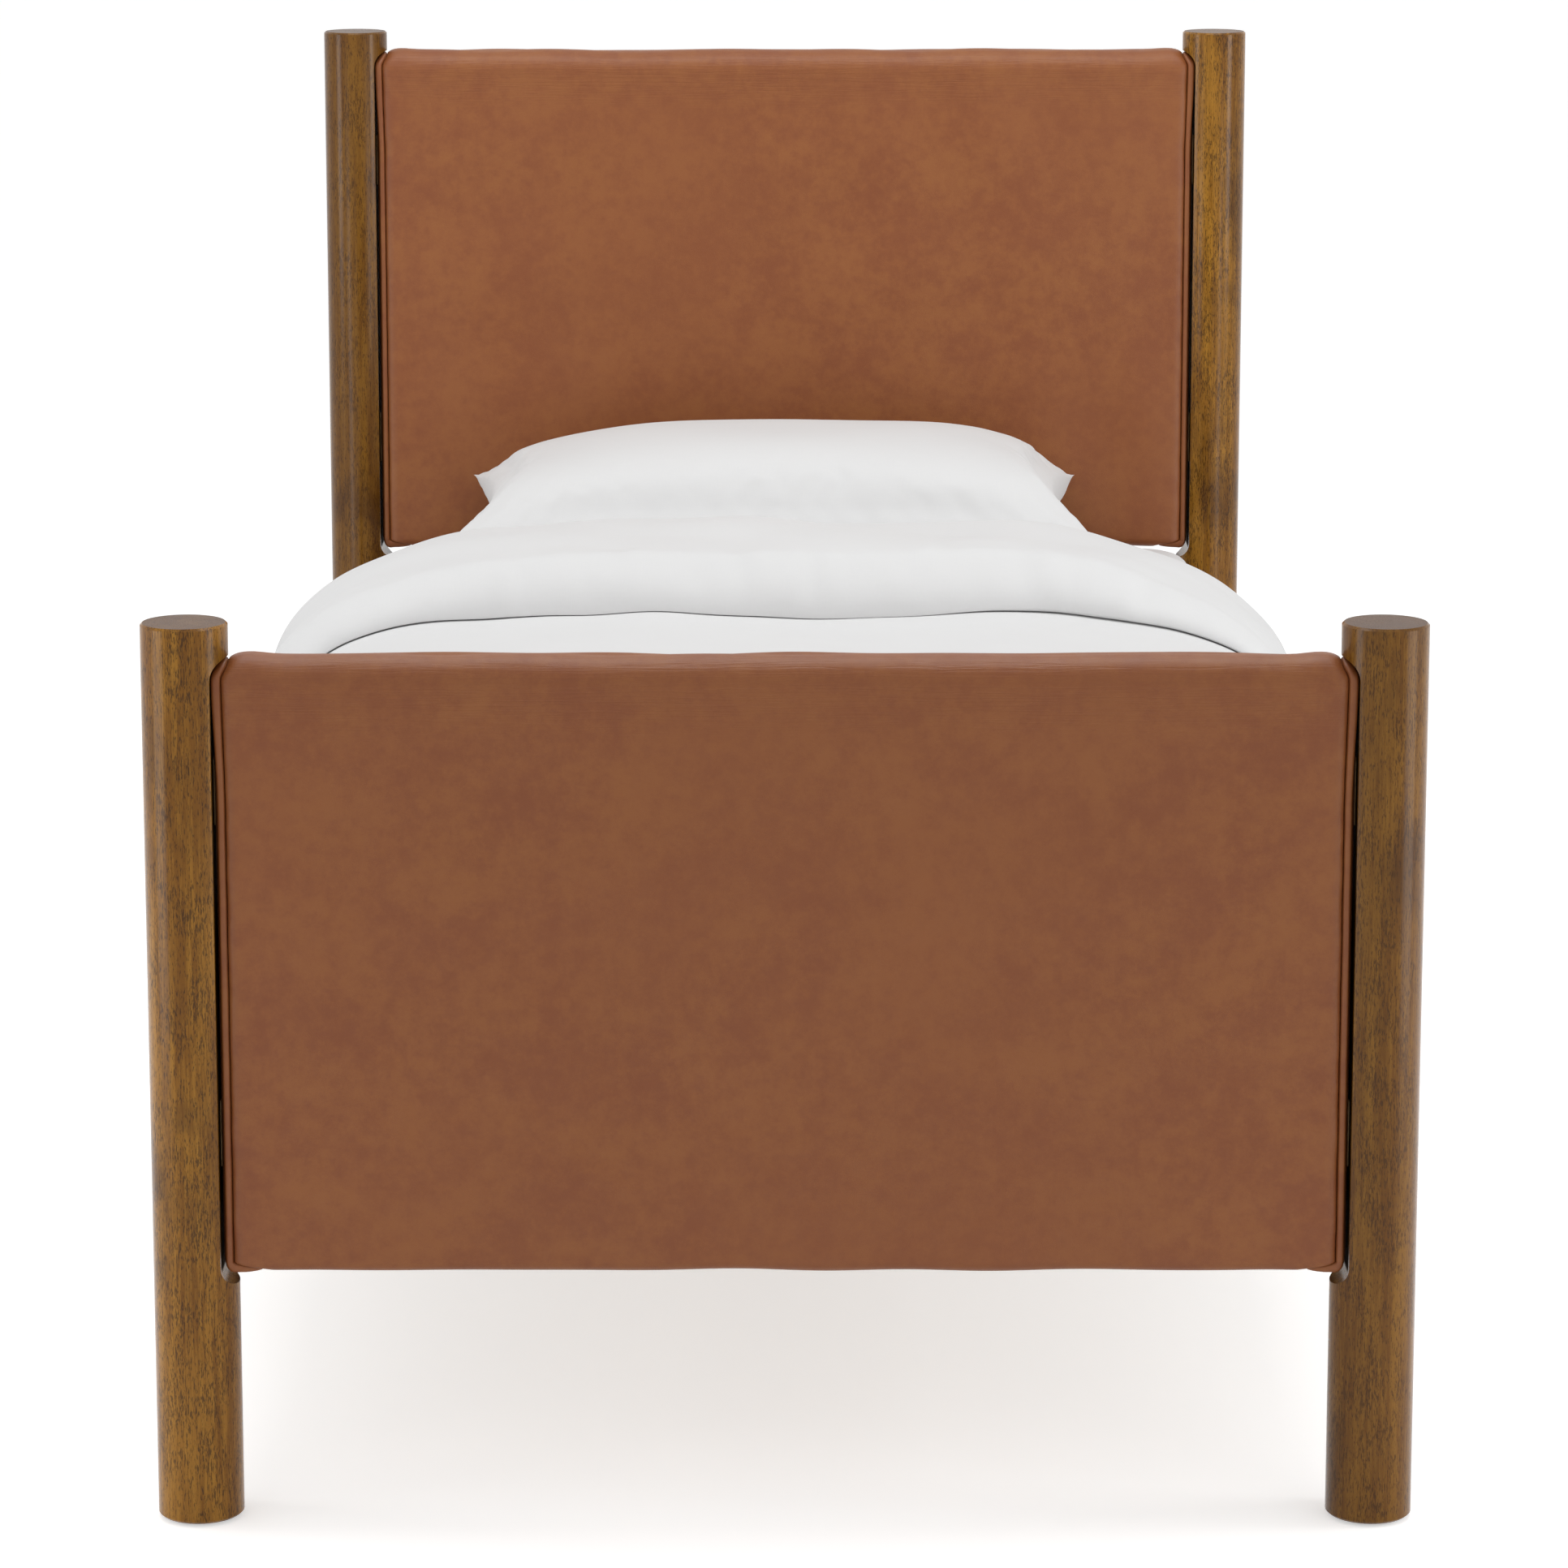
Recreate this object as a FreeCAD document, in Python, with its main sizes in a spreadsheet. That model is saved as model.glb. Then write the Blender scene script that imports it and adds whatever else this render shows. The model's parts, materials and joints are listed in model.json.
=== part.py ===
import FreeCAD, Part
import math
import os
from types import SimpleNamespace

import Sketcher
from FreeCAD import Placement, Rotation, Vector

# Twin platform bed: four turned posts, two padded panels, rails, slats and bedding.
# Millimetres. X runs across the bed, Y from foot to head, Z up from the floor.

# Driving dimensions
DRIVING = {
    # posts
    "post_diameter": 76.0,
    "post_rail_offset": 5.0,
    "foot_post_top": 809.0,
    "head_post_top": 1170.0,
    "post_rim_bevel": 2.0,
    "glide_height": 3.0,
    "glide_diameter": 34.0,
    "glide_edge_bevel": 1.2,
    # flats milled into the posts
    "panel_flat_depth": 14.0,
    "panel_flat_top_stop": 20.0,
    "panel_flat_bottom_stop": 5.0,
    "rail_flat_depth": 8.0,
    "flat_runout_radius": 20.0,
    # padded panels
    "headboard_bottom": 540.0,
    "headboard_top": 1148.0,
    "footboard_bottom": 231.0,
    "footboard_top": 781.0,
    "panel_thickness": 52.0,
    "panel_end_gap": 0.4,
    "panel_top_radius": 24.0,
    "panel_bottom_radius": 11.0,
    "panel_top_corner_radius": 20.0,
    "panel_bottom_corner_radius": 10.0,
    "cover_thickness": 8.0,
    "core_thickness": 18.0,
    "core_edge_foam": 12.0,
    # loose tenons between the panels and the posts
    "tenon_thickness": 12.0,
    "tenon_height": 60.0,
    "tenon_in_core": 45.0,
    "tenon_in_post": 30.0,
    "tenon_edge_bevel": 2.0,
    "mortise_end_gap": 1.0,
    "tenon_low_share": 0.22,
    "tenon_high_share": 0.78,
    # side rails
    "rail_bottom": 235.0,
    "rail_height": 140.0,
    "rail_thickness": 26.0,
    "rail_edge_bevel": 3.0,
    "rail_end_gap": 0.2,
    # hooked rail fittings
    "plate_width": 16.0,
    "plate_height": 112.0,
    "plate_thickness": 3.0,
    "hook_width": 5.0,
    "hook_neck": 12.0,
    "hook_drop": 10.0,
    "hook_tongue": 4.0,
    "hook_seat_gap": 0.3,
    "hook_clearance": 1.0,
    "hook_first": 24.0,
    "hook_pitch": 48.0,
    # slat ledges, slats and straps
    "ledge_top": 306.0,
    "ledge_height": 28.0,
    "ledge_width": 22.0,
    "ledge_edge_bevel": 2.0,
    "ledge_post_gap": 4.0,
    "slat_width": 70.0,
    "slat_thickness": 18.0,
    "slat_edge_bevel": 2.0,
    "slat_end_gap": 3.0,
    "slat_post_gap": 10.0,
    "strap_width": 40.0,
    "strap_thickness": 1.2,
    "strap_spacing": 600.0,
    "strap_end_gap": 12.0,
    # cross rail, cleat, centre rail and hangers
    "cross_rail_thickness": 24.0,
    "cross_rail_height": 90.0,
    "cross_rail_edge_bevel": 2.0,
    "cope_gap": 0.2,
    "cleat_thickness": 24.0,
    "cleat_height": 62.0,
    "cleat_end_gap": 30.0,
    "centre_rail_width": 42.0,
    "centre_rail_height": 56.0,
    "centre_rail_end_gap": 1.0,
    "hanger_thickness": 2.0,
    "hanger_depth": 36.0,
    "hanger_flange": 18.0,
    "hanger_height": 44.0,
    # centre legs and levelling feet
    "leg_top_diameter": 46.0,
    "leg_foot_diameter": 38.0,
    "leg_foot_height": 36.0,
    "front_leg_place": -120.0,
    "rear_leg_place": 420.0,
    "insert_diameter": 14.0,
    "insert_length": 20.0,
    "insert_flange_diameter": 24.0,
    "insert_flange": 2.0,
    "stud_diameter": 10.0,
    "stud_length": 62.0,
    "stud_clearance": 0.05,
    "stud_nut_width": 16.0,
    "stud_nut_height": 5.0,
    "stud_well_room": 14.0,
    "pad_diameter": 40.0,
    "pad_height": 12.0,
    "pad_socket_depth": 7.0,
    "pad_top_diameter": 22.0,
    "pad_rim_height": 4.0,
    "pad_nut_gap": 0.3,
    # bedding
    "mattress_width": 990.0,
    "mattress_length": 1905.0,
    "mattress_height": 222.0,
    "mattress_corner_radius": 70.0,
    "mattress_edge": 26.0,
    "mattress_waist": 4.0,
    "mattress_crown": 6.0,
    "mattress_rail_gap": 7.0,
    "mattress_panel_gap": 14.0,
    "bedding_gap": 0.5,
    "duvet_crown": 48.0,
    "duvet_edge_drop": 46.0,
    "duvet_rail_gap": 2.0,
    "duvet_thickness": 24.0,
    "duvet_hem_height": 306.0,
    "duvet_foot_inset": 10.0,
    "duvet_head_gap": 486.5,
    "duvet_fold_depth": 306.0,
    "duvet_roll_thickness": 46.0,
    "duvet_wave": 5.0,
    "duvet_wave_pitch": 470.0,
    "pillow_width": 740.0,
    "pillow_depth": 440.0,
    "pillow_head_gap": 11.5,
    "pillow_seam_lift": 72.0,
    "pillow_crown": 108.0,
    "pillow_belly": 71.0,
    "pillow_edge": 5.0,
    "pillow_pull": 22.0,
    # how far every cut runs past the wood that it cuts
    "overrun": 5.0,
}
SLAT_COUNT = 13

# Shares along the soft forms
DUVET_SECTION_COUNT = 11
BAND_PLACE_SHARES = (0.0, 0.05, 0.35, 0.75, 0.95, 1.0)
BAND_LIFT_SHARES = (0.1, 0.55, 0.75, 1.0, 0.75, 0.2)
BAND_SIDE_SHARE = 0.25
KNEE_SHARE = 0.72
PILLOW_PLACE_SHARES = (-1.0, -0.88, -0.5, 0.0, 0.5, 0.88, 1.0)
MATTRESS_LEVEL_SHARES = (0.0, 0.25, 1.0)
MATTRESS_INSET_SHARES = (1.0, 0.35, 0.0)
CROWN_INSET_SHARE = 0.25

# An edge runs along an axis when this share of its direction does
ALONG_SHARE = 0.999

TURNS = {
    "x": Rotation(Vector(0, 1, 0), 90),
    "y": Rotation(Vector(1, 0, 0), -90),
    "z": Rotation(),
}
ACROSS = Vector(1, 0, 0)


class Size:
    """A length that keeps its sum as text, for binding, beside its number."""

    def __init__(self, text, value):
        self.text = text
        self.value = value

    @staticmethod
    def of(other):
        return other if isinstance(other, Size) else Size(repr(other), other)

    def __add__(self, other):
        other = Size.of(other)
        return Size(f"({self.text} + {other.text})", self.value + other.value)

    def __sub__(self, other):
        other = Size.of(other)
        return Size(f"({self.text} - {other.text})", self.value - other.value)

    def __mul__(self, other):
        other = Size.of(other)
        return Size(f"({self.text} * {other.text})", self.value * other.value)

    def __truediv__(self, other):
        other = Size.of(other)
        return Size(f"({self.text} / {other.text})", self.value / other.value)

    def __rmul__(self, other):
        return Size.of(other) * self

    def __neg__(self):
        return Size(f"(0 - {self.text})", -self.value)


ZERO = Size("0", 0.0)


def make_sheet(doc):
    """Write the driving dimensions into the sheet and return them by name."""
    sheet = doc.addObject("Spreadsheet::Sheet", "Sizes")
    for row, (name, value) in enumerate(DRIVING.items(), start=1):
        sheet.set(f"A{row}", name)
        sheet.set(f"B{row}", str(value))
        sheet.setAlias(f"B{row}", name)
    doc.recompute()
    dim = SimpleNamespace()
    for name in DRIVING:
        setattr(dim, name, Size(f"Sizes.{name}", float(getattr(sheet, name))))
    return dim


def work_out(dim):
    """Add the places that several pieces share, each from the driving dimensions."""
    dim.rail_inner_x = dim.mattress_width / 2 + dim.mattress_rail_gap
    dim.rail_x = dim.rail_inner_x + dim.rail_thickness / 2
    dim.panel_inner_y = dim.mattress_length / 2 + dim.mattress_panel_gap
    dim.post_radius = dim.post_diameter / 2
    dim.post_x = dim.rail_x + dim.post_rail_offset
    dim.post_y = dim.panel_inner_y + dim.panel_thickness / 2
    dim.post_reach = dim.post_radius + dim.overrun
    dim.panel_flat_x = dim.post_x - dim.post_radius + dim.panel_flat_depth
    dim.panel_half_width = dim.panel_flat_x - dim.panel_end_gap
    dim.core_half_width = dim.panel_half_width - dim.cover_thickness
    dim.rail_flat_y = dim.post_y - dim.post_radius + dim.rail_flat_depth
    dim.rail_top = dim.rail_bottom + dim.rail_height
    dim.rail_half_length = dim.rail_flat_y - dim.rail_end_gap
    dim.plate_bottom = dim.rail_bottom + (dim.rail_height - dim.plate_height) / 2
    dim.ledge_half_length = dim.post_y - dim.post_radius - dim.ledge_post_gap
    dim.slat_top = dim.ledge_top + dim.slat_thickness
    dim.slat_run = 2 * (dim.post_y - dim.post_radius - dim.slat_post_gap) - dim.slat_width
    dim.slat_half_length = dim.rail_inner_x - dim.slat_end_gap
    dim.cleat_y = -dim.panel_inner_y
    dim.cleat_face_y = dim.cleat_y + dim.cleat_thickness
    dim.cross_rail_middle = dim.ledge_top - dim.cross_rail_height / 2
    dim.cross_face_y = dim.post_y - dim.cross_rail_thickness / 2
    dim.centre_rail_bottom = dim.ledge_top - dim.centre_rail_height
    dim.nut_bottom = dim.pad_height + dim.pad_nut_gap
    dim.mattress_bottom = dim.slat_top + dim.bedding_gap
    dim.mattress_shoulder = dim.mattress_bottom + dim.mattress_height
    dim.mattress_top = dim.mattress_shoulder + dim.mattress_crown
    return dim


# Building blocks

def bind(target, **sizes):
    """Bind each named property to its sum of sheet cells."""
    for name, size in sizes.items():
        target.setExpression(name, size.text)


def place(target, spot, axis="z"):
    """Put the target at a bound spot, with its own Z turned to the named axis."""
    target.Placement = Placement(Vector(*(size.value for size in spot)), TURNS[axis])
    for letter, size in zip("xyz", spot):
        target.setExpression(f"Placement.Base.{letter}", size.text)


def new_body(doc, label):
    """Start an empty body with this label."""
    body = doc.addObject("PartDesign::Body", label)
    body.Label = label
    return body


def box(body, kind, name, corner, opposite):
    """Add or cut the box between two opposite corners, given in any order."""
    pairs = [sorted(pair, key=lambda size: size.value) for pair in zip(corner, opposite)]
    feature = body.newObject(f"PartDesign::{kind}Box", name)
    length, width, height = (high - low for low, high in pairs)
    bind(feature, Length=length, Width=width, Height=height)
    place(feature, [low for low, high in pairs])
    return feature


def rod(body, kind, name, start, axis, radius, length):
    """Add or cut a round rod that runs from its start along the named axis."""
    feature = body.newObject(f"PartDesign::{kind}Cylinder", name)
    bind(feature, Radius=radius, Height=length)
    place(feature, start, axis)
    return feature


def cone(body, kind, name, start, axis, radius, end_radius, length):
    """Add or cut a round taper that runs from its start along the named axis."""
    feature = body.newObject(f"PartDesign::{kind}Cone", name)
    bind(feature, Radius1=radius, Radius2=end_radius, Height=length)
    place(feature, start, axis)
    return feature


def ease(body, name, wanted, size):
    """Bevel the edges of the body so far that the test picks."""
    body.Document.recompute()
    base = body.Tip
    edges = [f"Edge{n}" for n, edge in enumerate(base.Shape.Edges, start=1) if wanted(edge)]
    feature = body.newObject("PartDesign::Chamfer", name)
    feature.Base = (base, edges)
    bind(feature, Size=size)
    return feature


def is_ring(edge):
    return edge.Curve.TypeId == "Part::GeomCircle"


def runs_along(axis):
    """Test for straight edges that run along the named axis."""
    direction = TURNS[axis].multVec(Vector(0, 0, 1))

    def test(edge):
        if edge.Curve.TypeId != "Part::GeomLine":
            return False
        return abs(edge.tangentAt(edge.FirstParameter).dot(direction)) > ALONG_SHARE

    return test


def new_sketch(body, plane, name, offset=None):
    """Start a sketch on one of the body's own planes, lifted off it by a bound offset."""
    sketch = body.newObject("Sketcher::SketchObject", name)
    support = next(item for item in body.Origin.OriginFeatures if item.Role == plane)
    sketch.AttachmentSupport = [(support, "")]
    sketch.MapMode = "FlatFace"
    if offset is not None:
        sketch.setExpression("AttachmentOffset.Base.z", offset.text)
    return sketch


def hold(sketch, kind, geometry, point, size):
    """Fix one coordinate of a sketch point, measured from the origin."""
    number = sketch.addConstraint(Sketcher.Constraint(kind, -1, 1, geometry, point, size.value))
    sketch.setExpression(f"Constraints[{number}]", size.text)


def hold_radius(sketch, geometry, size):
    """Fix the radius of a sketch circle or arc."""
    number = sketch.addConstraint(Sketcher.Constraint("Radius", geometry, size.value))
    sketch.setExpression(f"Constraints[{number}]", size.text)


def outline(sketch, points):
    """Draw a closed outline of straight lines through bound points."""
    count = len(points)
    spots = [Vector(across.value, up.value, 0) for across, up in points]
    for n in range(count):
        sketch.addGeometry(Part.LineSegment(spots[n], spots[(n + 1) % count]))
    for n in range(count):
        sketch.addConstraint(Sketcher.Constraint("Coincident", n, 2, (n + 1) % count, 1))
    for n, (across, up) in enumerate(points):
        hold(sketch, "DistanceX", n, 1, across)
        hold(sketch, "DistanceY", n, 1, up)
    return sketch


def rounded_outline(sketch, low, high, low_radius, high_radius):
    """Draw a rectangle whose two lower and two upper corners are arcs.

    Its four lines run round from the left side upwards; then come the arcs that follow them.
    """
    first = sketch.GeometryCount
    (left, bottom), (right, top) = low, high
    radii = (high_radius, high_radius, low_radius, low_radius)
    corners = ((left, top, 1, -1), (right, top, -1, -1), (right, bottom, -1, 1), (left, bottom, 1, 1))
    outwards = (Vector(-1, 0, 0), Vector(0, 1, 0), Vector(1, 0, 0), Vector(0, -1, 0))
    centres = []
    for (across, up, inward, upward), radius in zip(corners, radii):
        reach = radius.value
        centres.append(Vector(across.value + inward * reach, up.value + upward * reach, 0))
    for n, outward in enumerate(outwards):
        start = centres[n - 1] + outward * radii[n - 1].value
        end = centres[n] + outward * radii[n].value
        sketch.addGeometry(Part.LineSegment(start, end))
    for n, (centre, radius) in enumerate(zip(centres, radii)):
        circle = Part.Circle(centre, Vector(0, 0, 1), radius.value)
        begin = (math.pi / 2) * (1 - n)
        sketch.addGeometry(Part.ArcOfCircle(circle, begin, begin + math.pi / 2))
    for n, radius in enumerate(radii):
        line, arc, following = first + n, first + 4 + n, first + (n + 1) % 4
        sketch.addConstraint(Sketcher.Constraint("Tangent", line, 2, arc, 2))
        sketch.addConstraint(Sketcher.Constraint("Tangent", arc, 1, following, 1))
        hold_radius(sketch, arc, radius)
    for n, direction in enumerate(("Vertical", "Horizontal", "Vertical", "Horizontal")):
        sketch.addConstraint(Sketcher.Constraint(direction, first + n))
    for n, side in enumerate((left, top, right, bottom)):
        hold(sketch, "DistanceY" if n % 2 else "DistanceX", first + n, 1, side)
    return sketch


def pad_evenly(body, name, sketch, length):
    """Pad a sketch by the same amount to both sides of its plane."""
    pad = body.newObject("PartDesign::Pad", name)
    pad.Profile = sketch
    pad.Midplane = True
    bind(pad, Length=length)
    return pad


def mirrored(doc, source, label, normal):
    """Mirror a piece in a plane through the middle of the bed."""
    copy = doc.addObject("Part::Mirroring", label)
    copy.Label = label
    copy.Source = source
    copy.Normal = normal
    return copy


def group(doc, label, members):
    """Keep several like pieces together as separate solids of one sub-part."""
    compound = doc.addObject("Part::Compound", label)
    compound.Label = label
    compound.Links = members
    return compound


def cut(doc, label, base, tools):
    """Cut tools out of a piece, one after the other; the last cut takes the label."""
    for n, tool in enumerate(tools):
        last = n == len(tools) - 1
        result = doc.addObject("Part::Cut", label if last else f"{label}_cut_{n}")
        result.Base = base
        result.Tool = tool
        base = result
    base.Label = label
    return base


# Posts

def mill_flat(body, dim, name, axis, face, centre, way, levels):
    """Mill a flat across a post, with a scooped run-out of the cutter at both ends.

    The face is where the flat lies along the axis; way points out of the post there.
    """
    low, high = levels
    reach, radius = dim.post_reach, dim.flat_runout_radius
    cross = "y" if axis == "x" else "x"
    near = {axis: face, cross: centre[cross] - reach}
    far = {axis: centre[axis] + way * reach, cross: centre[cross] + reach}
    box(body, "Subtractive", f"{name}_flat", (near["x"], near["y"], low), (far["x"], far["y"], high))
    start = {axis: face + way * radius, cross: centre[cross] - reach}
    for end, level in (("low", low), ("high", high)):
        spot = (start["x"], start["y"], level)
        rod(body, "Subtractive", f"{name}_{end}_runout", spot, cross, radius, 2 * reach)


def make_post(doc, dim, name, end, top, panel):
    """One right-hand post: turned, rims eased, milled for its panel and its side rail."""
    body = new_body(doc, f"{name}_right")
    centre = {"x": dim.post_x, "y": end * dim.post_y}
    foot = (centre["x"], centre["y"], dim.glide_height)
    rod(body, "Additive", f"{name}_turned", foot, "z", dim.post_radius, top - dim.glide_height)
    ease(body, f"{name}_rims", is_ring, dim.post_rim_bevel)
    panel_low, panel_high = panel
    flat_span = (panel_low + dim.panel_flat_bottom_stop, panel_high - dim.panel_flat_top_stop)
    mill_flat(body, dim, f"{name}_panel", "x", dim.panel_flat_x, centre, -1, flat_span)
    rail_span = (dim.rail_bottom, dim.rail_top)
    mill_flat(body, dim, f"{name}_rail", "y", end * dim.rail_flat_y, centre, -end, rail_span)
    for level_name, level in tenon_levels(dim, panel):
        cut_mortise(body, dim, f"{name}_{level_name}_mortise", dim.panel_flat_x, end, level)
    if end > 0:
        cut_mortise(body, dim, f"{name}_cross_rail_mortise", dim.post_x - dim.post_radius, end,
                    dim.cross_rail_middle)
    cut_hook_pockets(body, dim, name, end)
    return body


def cut_mortise(body, dim, name, face, end, level):
    """Cut the mortise for one loose tenon into the inner side of a post."""
    half_y, half_z = dim.tenon_thickness / 2, dim.tenon_height / 2
    middle = end * dim.post_y
    box(body, "Subtractive", name, (face - dim.post_radius, middle - half_y, level - half_z),
        (face + dim.tenon_in_post + dim.mortise_end_gap, middle + half_y, level + half_z))


def tenon_levels(dim, panel):
    """Heights of the lower and upper tenon of a panel."""
    low, high = panel
    rise = high - low
    return (("low", low + dim.tenon_low_share * rise), ("high", low + dim.tenon_high_share * rise))


def make_glides(doc, dim):
    """Nylon glides, each a bevelled disc stuck under the end of its post."""
    corners = []
    for name, end in (("head", 1), ("foot", -1)):
        body = new_body(doc, f"{name}_glide")
        spot = (dim.post_x, end * dim.post_y, ZERO)
        rod(body, "Additive", f"{name}_glide_disc", spot, "z", dim.glide_diameter / 2,
            dim.glide_height)
        ease(body, f"{name}_glide_edge",
             lambda edge: is_ring(edge) and edge.BoundBox.ZMax < dim.glide_height.value / 2,
             dim.glide_edge_bevel)
        corners += [body, mirrored(doc, body, f"{name}_glide_left", ACROSS)]
    return group(doc, "post_glides", corners)


# Hooked rail fittings

def hook_levels(dim):
    """Heights of the undersides of the two hook necks."""
    first = dim.plate_bottom + dim.hook_first
    return (("low", first), ("high", first + dim.hook_pitch))


def cut_hook_pockets(body, dim, name, end):
    """Let the post plate into the rail flat and clear a pocket behind it for the hooks."""
    half = dim.plate_width / 2
    back = dim.rail_flat_y + dim.plate_thickness
    plate_top = dim.plate_bottom + dim.plate_height
    box(body, "Subtractive", f"{name}_plate_seat",
        (dim.rail_x - half, end * (dim.rail_flat_y - dim.overrun), dim.plate_bottom),
        (dim.rail_x + half, end * back, plate_top))
    pocket_half = dim.hook_width / 2 + dim.hook_clearance
    deep = back + dim.hook_seat_gap + dim.hook_tongue + dim.hook_clearance
    for level_name, level in hook_levels(dim):
        box(body, "Subtractive", f"{name}_{level_name}_pocket",
            (dim.rail_x - pocket_half, end * (back - dim.hook_clearance),
             level - dim.hook_drop - dim.hook_clearance),
            (dim.rail_x + pocket_half, end * deep, level + slot_height(dim)))


def slot_height(dim):
    """A slot lets the whole hook through before it drops behind the plate."""
    return dim.hook_neck + dim.hook_drop + dim.hook_clearance


def make_post_plate(doc, dim, name, end):
    """Slotted steel plate let into the post, its face flush with the rail flat."""
    body = new_body(doc, f"{name}_post_plate")
    half = dim.plate_width / 2
    plate_top = dim.plate_bottom + dim.plate_height
    box(body, "Additive", f"{name}_post_plate_blank",
        (dim.rail_x - half, end * dim.rail_flat_y, dim.plate_bottom),
        (dim.rail_x + half, end * (dim.rail_flat_y + dim.plate_thickness), plate_top))
    slot_half = dim.hook_width / 2 + dim.hook_seat_gap
    for level_name, level in hook_levels(dim):
        box(body, "Subtractive", f"{name}_{level_name}_slot",
            (dim.rail_x - slot_half, end * (dim.rail_flat_y - dim.overrun), level),
            (dim.rail_x + slot_half, end * (dim.rail_flat_y + dim.plate_thickness + dim.overrun),
             level + slot_height(dim)))
    return body


def make_hook_plate(doc, dim, name, end):
    """Steel plate let into the rail end, with two hooks that drop behind the post plate."""
    body = new_body(doc, f"{name}_hook_plate")
    half = dim.plate_width / 2
    joint = dim.rail_half_length
    back = dim.rail_flat_y + dim.plate_thickness + dim.hook_seat_gap
    box(body, "Additive", f"{name}_hook_plate_blank",
        (dim.rail_x - half, end * (joint - dim.plate_thickness), dim.plate_bottom),
        (dim.rail_x + half, end * joint, dim.plate_bottom + dim.plate_height))
    for level_name, level in hook_levels(dim):
        sketch = new_sketch(body, "YZ_Plane", f"{name}_{level_name}_hook_outline", dim.rail_x)
        neck_top = level + dim.hook_neck
        tongue_low = level - dim.hook_drop
        tongue_back = back + dim.hook_tongue
        outline(sketch, (
            (end * (joint - dim.plate_thickness), level), (end * back, level),
            (end * back, tongue_low), (end * tongue_back, tongue_low),
            (end * tongue_back, neck_top), (end * (joint - dim.plate_thickness), neck_top),
        ))
        pad_evenly(body, f"{name}_{level_name}_hook", sketch, dim.hook_width)
    return body


# Padded panels

def panel_form(doc, dim, label, panel, end, inset):
    """The padded panel's outer form, drawn in by the inset all round.

    Its round-topped section runs across the bed and is trimmed to a front with rounded corners.
    """
    low, high = panel[0] + inset, panel[1] - inset
    middle = end * dim.post_y
    half = dim.panel_thickness / 2 - inset
    half_width = dim.panel_half_width - inset
    run = new_body(doc, f"{label}_run")
    section = new_sketch(run, "YZ_Plane", f"{label}_section")
    rounded_outline(section, (middle - half, low), (middle + half, high),
                    dim.panel_bottom_radius - inset, dim.panel_top_radius - inset)
    pad_evenly(run, f"{label}_width", section, 2 * half_width)
    front = new_body(doc, f"{label}_front")
    face = new_sketch(front, "XZ_Plane", f"{label}_face", -middle)
    rounded_outline(face, (-half_width, low), (half_width, high),
                    dim.panel_bottom_corner_radius - inset, dim.panel_top_corner_radius - inset)
    pad_evenly(front, f"{label}_thickness", face, dim.panel_thickness)
    form = doc.addObject("Part::Common", label)
    form.Base = run
    form.Tool = front
    return form


def make_end_block(doc, dim, label, panel, end):
    """A plain block over the last stretch of a panel, where its sewn end piece lies."""
    low, high = panel
    body = new_body(doc, label)
    middle = end * dim.post_y
    box(body, "Additive", f"{label}_blank",
        (dim.core_half_width, middle - dim.panel_thickness, low - dim.overrun),
        (dim.post_x, middle + dim.panel_thickness, high + dim.overrun))
    return body


def make_tenon(doc, dim, label, inner, face, end, level):
    """A loose tenon from inside a rail or core into the right-hand post, edges bevelled."""
    body = new_body(doc, label)
    half_y, half_z = dim.tenon_thickness / 2, dim.tenon_height / 2
    middle = end * dim.post_y
    box(body, "Additive", f"{label}_blank", (inner, middle - half_y, level - half_z),
        (face + dim.tenon_in_post, middle + half_y, level + half_z))
    ease(body, f"{label}_edges", runs_along("x"), dim.tenon_edge_bevel)
    return body


def make_tenons(doc, dim, label, panel, end):
    """Four loose tenons, each half in the panel's core and half in a post."""
    members = []
    inner = dim.core_half_width - dim.tenon_in_core
    for level_name, level in tenon_levels(dim, panel):
        name = f"{label}_{level_name}"
        tenon = make_tenon(doc, dim, name, inner, dim.panel_flat_x, end, level)
        members += [tenon, mirrored(doc, tenon, f"{name}_left", ACROSS)]
    return group(doc, label, members)


def make_core(doc, dim, label, panel, end, tenons):
    """Plywood board inside a panel; it ends against the cover's end pieces."""
    low, high = panel
    body = new_body(doc, f"{label}_body")
    margin = dim.cover_thickness + dim.core_edge_foam
    half = dim.core_thickness / 2
    middle = end * dim.post_y
    box(body, "Additive", f"{label}_board", (-dim.core_half_width, middle - half, low + margin),
        (dim.core_half_width, middle + half, high - margin))
    return cut(doc, label, body, [tenons])


def make_panel(doc, dim, name, panel, end):
    """Core, foam wrap, cover sleeve, sewn end pieces and tenons of one padded panel."""
    tenons = make_tenons(doc, dim, f"{name}_tenons", panel, end)
    outer = panel_form(doc, dim, f"{name}_outer_form", panel, end, ZERO)
    inner = panel_form(doc, dim, f"{name}_inner_form", panel, end, dim.cover_thickness)
    block = make_end_block(doc, dim, f"{name}_end_block", panel, end)
    slab = doc.addObject("Part::Common", f"{name}_end_slab")
    slab.Base = outer
    slab.Tool = block
    end_right = cut(doc, f"{name}_end_right", slab, [tenons])
    end_left = mirrored(doc, end_right, f"{name}_end_left", ACROSS)
    core = make_core(doc, dim, f"{name}_core", panel, end, tenons)
    foam = cut(doc, f"{name}_foam", inner, [core, tenons])
    blocks = [block, mirrored(doc, block, f"{name}_end_block_left", ACROSS)]
    cover = cut(doc, f"{name}_cover", outer, [inner] + blocks)
    return [core, foam, cover, end_right, end_left, tenons]


# Rails, ledges and slats

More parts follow.
